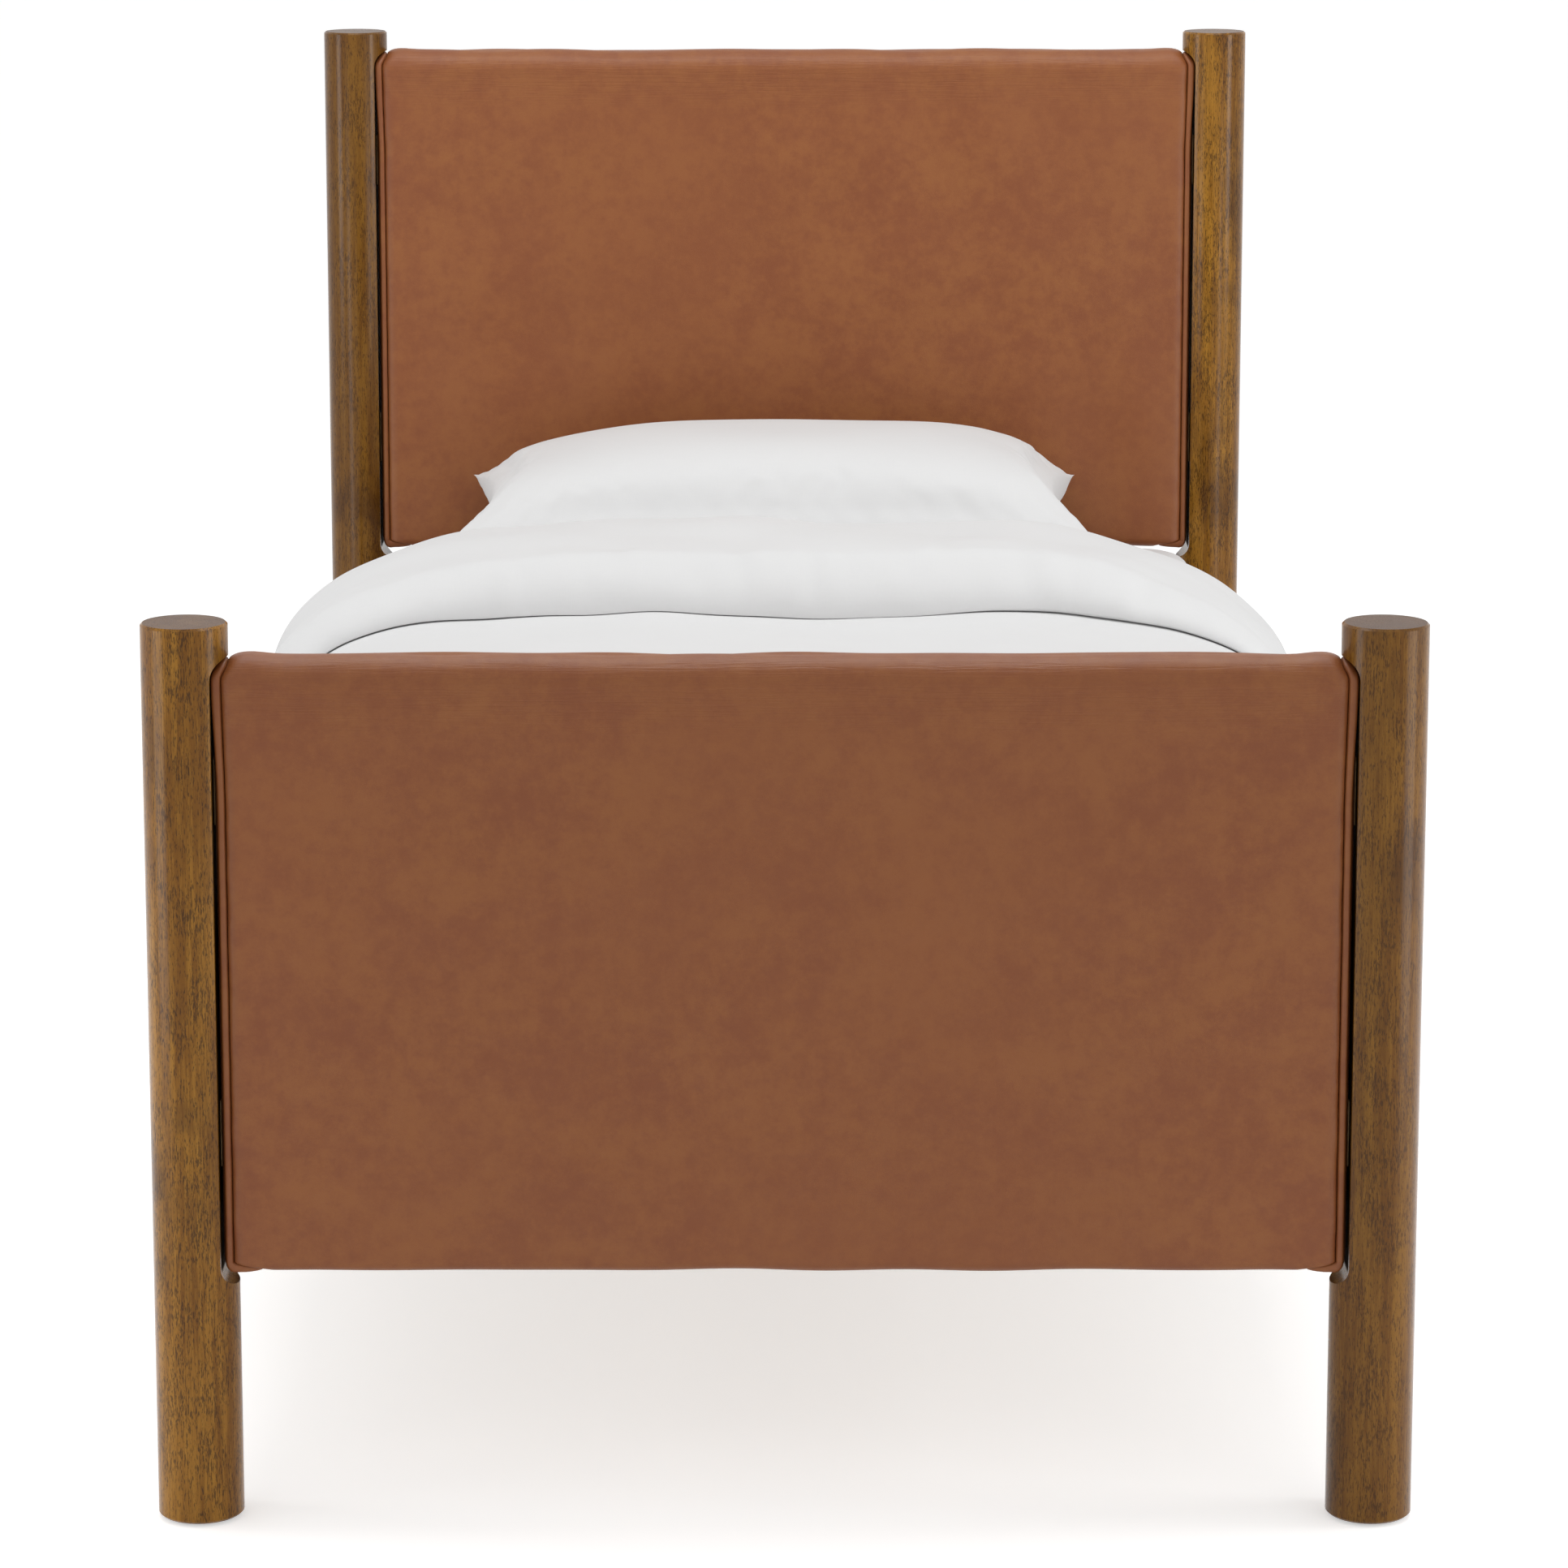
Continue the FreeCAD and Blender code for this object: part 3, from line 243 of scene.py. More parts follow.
def drawn_out(axis, across, along):
    """Stretch of a pattern: one scale along the grain and another across it."""
    return tuple(along if letter == axis else across for letter in "xyz")


def wood_finish(name, axis, tones):
    """Stained hardwood under satin lacquer, its grain along one axis.

    Golden and brown streaks lie under dark blotches and patches of short dark pores. End grain
    is darker. Posts differ in tone, and the rear posts are a little darker as painted shade. The
    flats that take the panels are painted nearly black as shade in their recess, and unlacquered.
    """
    finish, at, shader = new_finish(name)

    def grain(across, along, detail=3.0, roughness=0.6):
        return noise(at, 1.0, detail, roughness, drawn_out(axis, across, along))

    streak, ribbon, fine = grain(48.0, 2.4, 4.0), grain(170.0, 7.0), grain(700.0, 30.0)
    blotch, crowd = grain(13.0, 8.0), grain(42.0, 20.0, 2.0)
    pore, dash = grain(820.0, 120.0, 2.0), grain(1500.0, 260.0, 1.0)
    tone = mixed(rise(streak * 0.40 + ribbon * 0.30 + fine * 0.30, 0.40, 0.60), tones.stain,
                 tones.stain_gold)
    blotched = 0.62 if axis == "z" else 0.42
    tone = mixed(rise(blotch, 0.50, 0.72) * blotched, tone, tones.stain_dark)
    pores = rise(pore * 0.6 + dash * 0.4 + rise(crowd, 0.36, 0.66) * 0.07, 0.535, 0.625)
    tone = mixed(pores * 0.70, tone, shaded(tones.stain_dark, 0.3))
    facing = at.node("TexCoord", out="Normal")
    end = rise(abs(part_of(facing, axis.upper())), 0.80, 0.95)
    tone = mixed(end * 0.80, tone, tones.stain_dark)
    lacquer, flat_shade = 0.85 - end * 0.45, 0.0
    if axis == "z":
        x, y = part_of(at, "X"), part_of(at, "Y")
        # Two posts on a diagonal are a darker board; the rear posts are also darkened a little as
        # painted shade, for the lesser light that reaches them.
        board_tone_and_rear_shade = (1.0 - rise(x * y, -0.1, 0.1)) * 0.46 + rise(y, -0.1, 0.1) * 0.10
        tone = mixed(board_tone_and_rear_shade, tone, tones.stain_dark)
        (_, post_y, _), (flat_x, _, _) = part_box("headboard_end_right")
        post_y, flat_x = post_y + PANEL_HALF, flat_x + PANEL_GAP
        # Painted shade: the flat that takes a panel's end is painted nearly black for the shadow
        # in the recess between post and panel; it also loses its lacquer and is rougher.
        milled = (rise(abs(part_of(facing, "X")), 0.95, 0.99)
                  * (1.0 - rise(abs(abs(x) - flat_x), 0.0008, 0.002)))
        flat_shade = milled * (1.0 - rise(abs(abs(y) - post_y), FLAT_HALF, FLAT_FADE))
        tone = mixed(flat_shade * 0.92, tone, shaded(tones.stain_dark, 0.12))
        lacquer = lacquer - flat_shade * 0.85
    feed(shader, Base_Color=tone, Roughness=0.36 + fine * 0.16 + pores * 0.12 + flat_shade * 0.3,
         Normal=bumped(fine * 0.5 + ribbon * 0.4 - pores * 0.8, 0.22, 0.0005),
         Specular_IOR_Level=0.02, Coat_Weight=lacquer, Coat_Roughness=0.20, Coat_IOR=1.32)
    return finish


def pine_finish(name, axis, tones):
    """Plain sawn pine with its grain along one axis and a few darker bands."""
    finish, at, shader = new_finish(name)
    band = noise(at, 1.0, 3.0, 0.5, drawn_out(axis, 38.0, 1.1))
    fine = noise(at, 1.0, 3.0, 0.6, drawn_out(axis, 260.0, 9.0))
    dark = tuple(part * share for part, share in zip(tones.pine, (0.72, 0.62, 0.5)))
    tone = mixed(rise(band * 0.75 + fine * 0.25, 0.38, 0.66), dark, tones.pine)
    feed(shader, Base_Color=tone, Roughness=0.58 + fine * 0.2,
         Normal=bumped(fine * 0.6 + band * 0.4, 0.2, 0.0006))
    return finish


def ply_finish():
    """Edge of plywood: thin light and dark layers through its thickness."""
    finish, at, shader = new_finish("plywood_layers")
    layer = waves(at, "Y", 90.0, 1.2)
    feed(shader, Base_Color=mixed(rise(layer, 0.3, 0.7), (0.34, 0.19, 0.08), (0.52, 0.36, 0.19)),
         Roughness=0.6 + noise(at, 300.0) * 0.2)
    return finish


def foam_finish():
    """Pale upholstery foam with fine open cells."""
    finish, at, shader = new_finish("cut_foam")
    cells = at.node("TexVoronoi", None, {"Vector": at, "Scale": 600.0}, out="Distance")
    feed(shader, Base_Color=mixed(rise(cells, 0.1, 0.6), (0.60, 0.52, 0.33), (0.74, 0.68, 0.50)),
         Roughness=0.95, Normal=bumped(cells, 0.4, 0.0008))
    return finish


def steel_finish():
    """Zinc-plated steel, faintly clouded and brushed."""
    finish, at, shader = new_finish("zinc_plate")
    cloud = noise(at, 120.0, 4.0)
    brush = noise(at, 1.0, 2.0, 0.5, (900.0, 60.0, 60.0))
    feed(shader, Base_Color=mixed(rise(cloud, 0.35, 0.7), (0.50, 0.51, 0.53), (0.66, 0.67, 0.68)),
         Roughness=0.28 + cloud * 0.16 + brush * 0.06, Metallic=1.0,
         Normal=bumped(brush, 0.08, 0.0003))
    return finish


def nylon_finish():
    """Black nylon with a fine moulded texture."""
    finish, at, shader = new_finish("black_nylon_moulding")
    speck = noise(at, 900.0, 2.0)
    feed(shader, Base_Color=mixed(noise(at, 70.0), (0.010, 0.010, 0.011), (0.022, 0.022, 0.023)),
         Roughness=0.5 + speck * 0.2, Normal=bumped(speck, 0.15, 0.0004))
    return finish


def webbing_finish():
    """Woven cotton webbing: ribs across the strap and threads along it."""
    finish, at, shader = new_finish("cotton_webbing")
    weave = waves(at, "Y", 160.0, 0.6) * 0.6 + waves(at, "X", 330.0, 0.4) * 0.4
    feed(shader, Base_Color=mixed(weave, (0.50, 0.47, 0.41), (0.70, 0.68, 0.62)), Roughness=0.9,
         Normal=bumped(weave, 0.5, 0.0006))
    return finish


def linen_finish(name, tones, share):
    """White cotton: a fine plain weave, soft creases and a touch of sheen."""
    finish, at, shader = new_finish(name)
    warp = noise(at, 1.0, 1.0, 0.5, (1500.0, 90.0, 90.0))
    weft = noise(at, 1.0, 1.0, 0.5, (90.0, 1500.0, 90.0))
    weave = warp * 0.5 + weft * 0.5
    soft = noise(at, 9.0, 3.0, 0.5)
    pale = shaded(tones.linen, share)
    tone = mixed(rise(weave * 0.6 + soft * 0.4, 0.3, 0.7), shaded(pale, 0.975), pale)
    feed(shader, Base_Color=tone, Roughness=0.82 + weave * 0.1,
         Normal=bumped(weave * 0.12 + noise(at, 26.0, 4.0, 0.55) * 0.9, 0.16, 0.002),
         Sheen_Weight=0.12)
    return finish


# Shapes as arrays

def smooth(value, low, high):
    """0 below low, 1 above high, with level ends between (3t^2 - 2t^3)."""
    share = np.clip((value - low) / (high - low), 0.0, 1.0)
    return share * share * (3.0 - 2.0 * share)


def rim_round(away, radius):
    """Share of the full thickness near a rim: sqrt(1 - (1 - d/R)^2), 1 further in."""
    lack = 1.0 - np.clip(away / radius, 0.0, 1.0)
    return np.sqrt(1.0 - lack * lack)


def wander(first, second, pitch, seed, count=7):
    """Uneven swell over two lengths: plane waves of about one pitch, with a spread near 1."""
    draw = np.random.default_rng(seed)
    angles = draw.uniform(0.0, np.pi, count)
    phases = draw.uniform(0.0, 2.0 * np.pi, count)
    rates = draw.uniform(0.65, 1.5, count) * 2.0 * np.pi / pitch
    along = np.multiply.outer(np.cos(angles) * rates, first)
    across = np.multiply.outer(np.sin(angles) * rates, second)
    shifts = phases.reshape((count,) + (1,) * np.ndim(first))
    return np.sin(along + across + shifts).sum(axis=0) * math.sqrt(2.0 / count)


def grid_faces(rows, columns, wrap):
    """Quads between neighbouring rows and columns; wrap joins the last column to the first."""
    row, column = np.meshgrid(np.arange(rows - 1), np.arange(columns if wrap else columns - 1),
                              indexing="ij")
    after = (column + 1) % columns
    corners = (row * columns + column, row * columns + after,
               (row + 1) * columns + after, (row + 1) * columns + column)
    return np.stack(corners, axis=-1).reshape(-1, 4)


def wrapped(points):
    """Points and faces of one or more grids (rows, columns, 3), each wrapped round."""
    rows, columns = points.shape[-3:-1]
    points = points.reshape(-1, 3)
    starts = np.arange(0, len(points), rows * columns)[:, None, None]
    return points, (grid_faces(rows, columns, True) + starts).reshape(-1, 4)


def new_piece(name, points, faces, finish, body, slot, free=None):
    """Put points and faces into a mesh, tidy it and let it ride on its body.

    Free says how far each point may follow a filling, from 0 to 1.
    """
    mesh = bpy.data.meshes.new(name)
    mesh.from_pydata(points.reshape(-1, 3).tolist(), [], faces.tolist())
    if free is not None:
        mark = mesh.attributes.new("free", "FLOAT", "POINT")
        mark.data.foreach_set("value", free.ravel().astype(np.float32))
    tidy_mesh(mesh)
    mesh.materials.append(finish)
    piece = bpy.data.objects.new(name, mesh)
    bpy.context.scene.collection.objects.link(piece)
    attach(piece, body)
    return piece


def tidy_mesh(mesh):
    """Merge points that coincide, drop empty faces, turn the rest outwards, shade them smooth."""
    work = bmesh.new()
    work.from_mesh(mesh)
    bmesh.ops.remove_doubles(work, verts=work.verts, dist=1e-6)
    bmesh.ops.dissolve_degenerate(work, edges=work.edges, dist=1e-7)
    bmesh.ops.recalc_face_normals(work, faces=work.faces)
    work.to_mesh(mesh)
    work.free()
    mesh.shade_smooth()


def mesh_points(mesh):
    """Points of a mesh as an array with one row each."""
    points = np.empty(len(mesh.vertices) * 3)
    mesh.vertices.foreach_get("co", points)
    return points.reshape(-1, 3)


def set_points(mesh, points):
    """Move the points of a mesh."""
    mesh.vertices.foreach_set("co", np.ascontiguousarray(points, dtype=np.float32).ravel())
    mesh.update()


# Padded panels

def rounded_section(low, high, half, low_radius, high_radius, count):
    """Closed section of a panel, as points (y, z) and outward normals, count of each.

    Four quarter arcs in order round the section, joined by straight faces; the steps follow the
    length of the outline plus a share of its turning, so that the round edges get more points.
    They start at the middle of the top, so that both sides match and close on the middle line.
    """
    turn = np.radians(np.linspace(0.0, 90.0, 48))
    corners = ((half - high_radius, high - high_radius, high_radius),
               (high_radius - half, high - high_radius, high_radius),
               (low_radius - half, low + low_radius, low_radius),
               (half - low_radius, low + low_radius, low_radius))
    angles = np.concatenate([turn + n * np.pi / 2 for n in range(4)] + [[2.0 * np.pi]])
    centres = np.repeat(corners, turn.size, axis=0)
    centres = np.vstack([centres, centres[:1]])
    normals = np.stack([np.cos(angles), np.sin(angles)], axis=1)
    points = centres[:, :2] + centres[:, 2:] * normals
    steps = np.linalg.norm(np.diff(points, axis=0), axis=1) + 0.03 * np.diff(angles)
    run = np.concatenate([[0.0], np.cumsum(steps)])
    start = (run[turn.size - 1] + run[turn.size]) / 2
    even = (start + np.linspace(0.0, run[-1], count, endpoint=False)) % run[-1]
    spots = np.stack([np.interp(even, run, points[:, n]) for n in range(2)], axis=1)
    facing = np.stack([np.interp(even, run, normals[:, n]) for n in range(2)], axis=1)
    return spots, facing / np.linalg.norm(facing, axis=1, keepdims=True)


class PanelShape:
    """Section, ends and seams of one padded panel, read off its CAD nodes."""

    COLUMNS = 250
    LOW_RADIUS, TOP_RADIUS = 0.011, 0.0245
    END_ROOM = 0.0002  # by which the end piece stays short of its CAD node

    def __init__(self, name, sizes):
        cover_low, cover_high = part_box(f"{name}_cover")
        self.sizes = sizes
        self.middle = (cover_low[1] + cover_high[1]) / 2
        self.low, self.high = cover_low[2], cover_high[2]
        self.half = (cover_high[1] - cover_low[1]) / 2
        self.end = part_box(f"{name}_end_right")[1][0] - self.END_ROOM
        self.spots, self.facing = rounded_section(self.low, self.high, self.half, self.LOW_RADIUS,
                                                  self.TOP_RADIUS, self.COLUMNS)
        self.top = smooth(self.facing[:, 1], 0.25, 0.95)
        self.bottom = smooth(-self.facing[:, 1], 0.35, 0.98)
        drawn = smooth(self.high - self.spots[:, 1], 0.02, 0.13)
        self.end_x = self.end - sizes.end_draw * drawn
        self.seam_x = (self.end_x - sizes.strip_width + 0.0020 * drawn - 0.005 * self.top
                       - sizes.strip_tuck * self.bottom)

    def blend(self, face, top, bottom):
        """A value for each column: one for the faces, one for the top and one for the bottom."""
        return face + (top - face) * self.top + (bottom - face) * self.bottom

    def raised(self, x, sunk, shrink):
        """Points at x, sunk along the section's normals and shrunk towards its middle line."""
        y = self.spots[:, 0] - self.facing[:, 0] * sunk
        z = self.spots[:, 1] - self.facing[:, 1] * sunk
        core = np.clip(z, self.low + self.half, self.high - self.half)
        return np.stack([x, self.middle + y * shrink, core + (z - core) * shrink], axis=-1)


def sleeve_points(shape):
    """The leather sleeve: the section carried across the bed, its faces swelling a little, and
    rounded down into the seam at both ends by D (1 - sqrt(1 - (1 - d/R)^2)), d from the seam."""
    sizes = shape.sizes
    near = np.array([0.0, 0.0005, 0.0013, 0.0026, 0.0044, 0.0066, 0.0092, 0.0125, 0.0165, 0.022,
                     0.029, 0.038, 0.048])
    inner = np.linspace(-1.0, 1.0, 186)[:, None]
    margin = 0.06
    seam = shape.seam_x
    left = near[:, None] - seam
    right = seam - near[::-1, None]
    x = np.vstack([left, inner * (seam - margin), right])
    away = seam - np.abs(x)
    roll = shape.blend(sizes.face_roll, sizes.top_roll, 0.007)
    depth = shape.blend(sizes.face_depth, sizes.top_depth, 0.004)
    sunk = depth * (1.0 - rim_round(away, roll))
    rise_share = (shape.spots[:, 1] - shape.low) / (shape.high - shape.low)
    dome = (1.0 - (x / seam) ** 2) * (4.0 * rise_share * (1.0 - rise_share)) ** 0.7
    face = np.abs(shape.facing[:, 0]) > 0.7
    calm = smooth(away, 0.0, 0.05)
    height = np.broadcast_to(shape.spots[:, 1], x.shape)
    side = np.sign(shape.spots[:, 0]) * 0.4
    sunk = sunk - sizes.face_crown * dome * face
    sunk = sunk - 0.0005 * calm * wander(x, height + side, 0.19, 11)
    sunk = sunk - 0.0016 * np.exp(-((away - 0.020) / 0.015) ** 2) * shape.top
    sunk = sunk + 0.0003 * shape.top * calm * wander(x, height, 0.35, 5)
    pucker = wander(x * 0.0, height + side * 3.0, 0.034, 23) * np.exp(-away / 0.010)
    sunk = sunk + 0.00035 * pucker * (1.0 - shape.top)
    rows = shape.raised(x, sunk, 1.0)
    shrink = (0.0, 0.35, 0.7, 0.9)
    caps = [[shape.raised(sign * seam, depth, share) for share in shrink] for sign in (-1.0, 1.0)]
    return np.concatenate([caps[0], rows, caps[1][::-1]])


def end_points(shape, sign):
    """An end piece: a narrow strip that rises out of the seam, rounds over and closes the end."""
    share = np.array([0.0, 0.03, 0.09, 0.2, 0.34, 0.5, 0.66, 0.8, 0.9, 0.965, 1.0])[:, None]
    face = np.interp(share, (0.0, 0.09, 0.2, 0.34, 0.66, 0.8, 0.9, 0.965, 1.0),
                     (0.0078, 0.0034, 0.0021, 0.0017, 0.0017, 0.0020, 0.0025, 0.0034, 0.0056))
    top = np.interp(share, (0.0, 0.09, 0.2, 0.34, 0.5, 0.66, 0.8, 0.9, 0.965, 1.0),
                    (0.0065, 0.0040, 0.0029, 0.0027, 0.0033, 0.0046, 0.0064, 0.0084, 0.0108,
                     0.0140))
    under = np.interp(share, (0.0, 0.1, 0.45, 0.8, 0.93, 1.0),
                      (0.0030, 0.0004, -0.0018, -0.0022, -0.0008, 0.0030))
    sunk = shape.blend(face, top, under)
    x = shape.seam_x + share * (shape.end_x - shape.seam_x)
    height = np.broadcast_to(shape.spots[:, 1], x.shape)
    sunk = sunk + 0.00025 * wander(x, height, 0.06, 31) * np.sin(np.pi * share)
    strip = shape.raised(sign * x, sunk, 1.0)
    close = (0.97, 0.85, 0.6, 0.3, 0.0)
    room = 0.0004
    bulge = np.maximum(shape.end - room - shape.end_x, room)
    outer = [shape.raised(sign * (shape.end_x + bulge * (1.0 - part ** 3)), sunk[-1], part)
             for part in close]
    inner = [shape.raised(sign * shape.seam_x, sunk[0], part) for part in close[::-1]]
    return np.concatenate([inner, strip, outer])


def mark_creases(piece, top):
    """Crease map: 1 in a band below the top edge, fading out below it and over the edge."""
    height = mesh_points(piece.data)[:, 2]
    crease = smooth(height, top - 0.085, top - 0.030)
    crease = crease * (1.0 - 0.6 * smooth(height, top - 0.012, top))
    layer = piece.data.attributes.new("crease", "FLOAT", "POINT")
    layer.data.foreach_set("value", crease.astype(np.float32))


class BED_OT_panels(bpy.types.Operator):
    """Make the leather sleeves and end pieces of both panels"""

    bl_idname = "bed.panels"
    bl_label = "Leather panels"

    def execute(self, context):
        sizes = context.scene.bed_panel_sizes
        leather = bpy.data.materials["dyed_leather"]
        for name in ("headboard", "footboard"):
            shape = PanelShape(name, sizes)
            sleeve = new_piece(f"{name}_leather", *wrapped(sleeve_points(shape)), leather, "frame",
                               "brown_leather")
            mark_creases(sleeve, shape.high)
            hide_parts(f"{name}_cover", f"{name}_foam")
            for side, sign in (("left", -1.0), ("right", 1.0)):
                piece = new_piece(f"{name}_leather_end_{side}", *wrapped(end_points(shape, sign)),
                                  leather, "frame", "brown_leather")
                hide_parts(f"{name}_end_{side}")
        return {"FINISHED"}


# Mattress

def mattress_points():
    """The mattress in its fitted sheet: its plan outline carried up a side profile of soft edges
    and a slight waist, then closed over a crowned top and a flat underside. Tension creases run
    from each corner into the sides."""
    low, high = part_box("mattress")
    columns, room, radius, edge, crown = 420, 0.001, 0.07, 0.030, 0.006
    half_x, half_y = high[0] - room, high[1] - room
    spots, facing = rounded_section(-half_y, half_y, half_x, radius, radius, columns)
    shoulder = high[2] - crown
    arc = np.linspace(0.0, np.pi / 2, 9)
    rim = np.column_stack([edge * (1.0 - np.sin(arc)), edge * (1.0 - np.cos(arc))])
    bottom = np.column_stack([rim[:, 0], low[2] + room + rim[:, 1]])
    wall = np.linspace(bottom[-1, 1], shoulder - edge, 16)[1:-1]
    waist = 0.004 * np.sin(np.pi * (wall - wall[0]) / (wall[-1] - wall[0]))
    upper = np.column_stack([rim[::-1, 0], shoulder - rim[::-1, 1]])
    profile = np.vstack([bottom, np.column_stack([waist, wall]), upper])
    inset, level = profile.T[:, :, None]
    corner = (smooth(np.abs(spots[:, 0]), half_x - 0.30, half_x - 0.05)
              * smooth(np.abs(spots[:, 1]), half_y - 0.30, half_y - 0.05))
    along = np.arctan2(spots[:, 1] / half_y, spots[:, 0] / half_x) * 0.9
    walls = (smooth(level, low[2] + 0.04, low[2] + 0.10)
             * (1.0 - smooth(level, shoulder - 0.02, shoulder)))
    creases = wander(along + 0.25 * level, level * 0.6, 0.035, 41) * corner * walls
    swell = wander(along + 0.0 * level, level, 0.24, 43) * walls
    sunk = inset - 0.0011 * creases - 0.0012 * swell
    ring = np.concatenate([spots - facing * sunk[..., None],
                           np.broadcast_to(level[..., None], sunk.shape + (1,))], axis=-1)
    core = np.clip(spots, [0.0, half_x - half_y], [0.0, half_y - half_x])
    shares = np.array([0.93, 0.82, 0.68, 0.5, 0.3, 0.12, 0.0])

    def cap(row, lift):
        plan = core + (row[:, :2] - core) * shares[:, None, None]
        height = row[:, 2] + lift * (1.0 - shares[:, None] ** 2)
        height = height + 0.0007 * np.sign(lift) * wander(plan[..., 0], plan[..., 1], 0.21, 47)
        return np.concatenate([plan, height[..., None]], axis=-1)

    return np.concatenate([cap(ring[0], 0.0)[::-1], ring, cap(ring[-1], crown)])


class BED_OT_mattress(bpy.types.Operator):
    """Make the mattress in its fitted sheet"""

    bl_idname = "bed.mattress"
    bl_label = "Mattress"

    def execute(self, context):
        piece = new_piece("mattress_sheeted", *wrapped(mattress_points()),
                          bpy.data.materials["fitted_sheet"], "mattress", "mattress_ticking")
        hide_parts("mattress")
        return {"FINISHED"}


# Sewn covers

def fill_cover(piece, pressure, growth, bending, cap, frames=20):
    """Fill a sewn cover: cloth under inner pressure and without weight, its sheets a little larger
    than the form. Each point follows by its free share and moves no further than the cap."""
    before = mesh_points(piece.data)
    free = np.empty(len(before), dtype=np.float32)
    piece.data.attributes["free"].data.foreach_get("value", free)
    cloth = piece.modifiers.new("filling", "CLOTH")
    settings = cloth.settings
    settings.quality = 6
    settings.mass = 0.25
    settings.tension_stiffness = settings.compression_stiffness = 25.0
    settings.shear_stiffness = 8.0
    settings.bending_stiffness = bending
    settings.tension_damping = settings.compression_damping = 12.0
    settings.air_damping = 4.0
    settings.use_pressure = True
    settings.uniform_pressure_force = pressure
    settings.shrink_min = -growth
    settings.effector_weights.gravity = 0.0
    cloth.collision_settings.use_collision = False
    cloth.point_cache.frame_start, cloth.point_cache.frame_end = 1, frames
    for number in range(1, frames + 1):
        bpy.context.scene.frame_set(number)
    shape = piece.evaluated_get(bpy.context.evaluated_depsgraph_get()).to_mesh()
    moved = mesh_points(shape) - before
    piece.to_mesh_clear()
    piece.modifiers.remove(cloth)
    bpy.context.scene.frame_set(1)
    far = np.linalg.norm(moved, axis=1, keepdims=True)
    moved = moved * np.minimum(1.0, cap / np.maximum(far, cap))
    set_points(piece.data, before + moved * free[:, None])


def sewn_cover(name, layers, free, body, **filling):
    """Sew two layers of white cotton round their rim, fill the cover and subdivide it once."""
    points = np.stack(layers)
    rows, columns = points.shape[1:3]
    faces = grid_faces(rows, columns, False)
    faces = np.concatenate([faces, faces[:, ::-1] + rows * columns])
    piece = new_piece(name, points, faces, bpy.data.materials["cotton_percale"], body,
                      "white_cotton", free)
    fill_cover(piece, **filling)
    finer = piece.modifiers.new("finer", "SUBSURF")
    finer.levels = finer.render_levels = 1
    return piece


# Duvet

def half_section(share):
    """Half of the lower layer's middle line across the bed, from the centre to the hem.

    A cubic over the mattress and round its edge comes first and a straight drop to the hem after
    it; share runs from 0 to 1 by length. Also gives the whole length.
    """
    knots = np.array([(0.0, 0.577), (0.41, 0.577), (0.550, 0.602), (0.545, 0.430)])
    hem = 0.318
    t = np.linspace(0.0, 1.0, 200)[:, None]
    bend = ((1 - t) ** 3 * knots[0] + 3 * (1 - t) ** 2 * t * knots[1]
            + 3 * (1 - t) * t ** 2 * knots[2] + t ** 3 * knots[3])
    line = np.vstack([bend, [[knots[3][0], hem]]])
    run = np.concatenate([[0.0], np.cumsum(np.linalg.norm(np.diff(line, axis=0), axis=1))])
    return [np.interp(share * run[-1], run, line[:, n]) for n in range(2)], run[-1]


def duvet_ground(across, y):
    """Middle surface of the lower layer over (share across the bed, place along it).

    The section is the same all along, with slow swells on top and hanging folds that grow down
    the sides.
    """
    (x, z), reach = half_section(np.abs(across))
    girth = across * reach
    hanging = 1.0 - smooth(z, 0.34, 0.55)
    start, pitch = -0.942, 0.47
    fold = (0.0050 * np.sin(2.0 * np.pi * (y - start) / pitch)
            + 0.0030 * wander(y, z * 0.3, 0.21, 3))
    swell = 0.0016 * wander(girth, y, 0.36, 7) + 0.0006 * wander(girth, y, 0.12, 8)
    return np.stack([np.sign(across) * (x + hanging * fold), y,
                     z + smooth(z, 0.50, 0.56) * swell], axis=-1)


def eased(span, count):
    """Steps from 0 to a span that start small and grow: span t^2."""
    return span * np.linspace(0.0, 1.0, count) ** 2


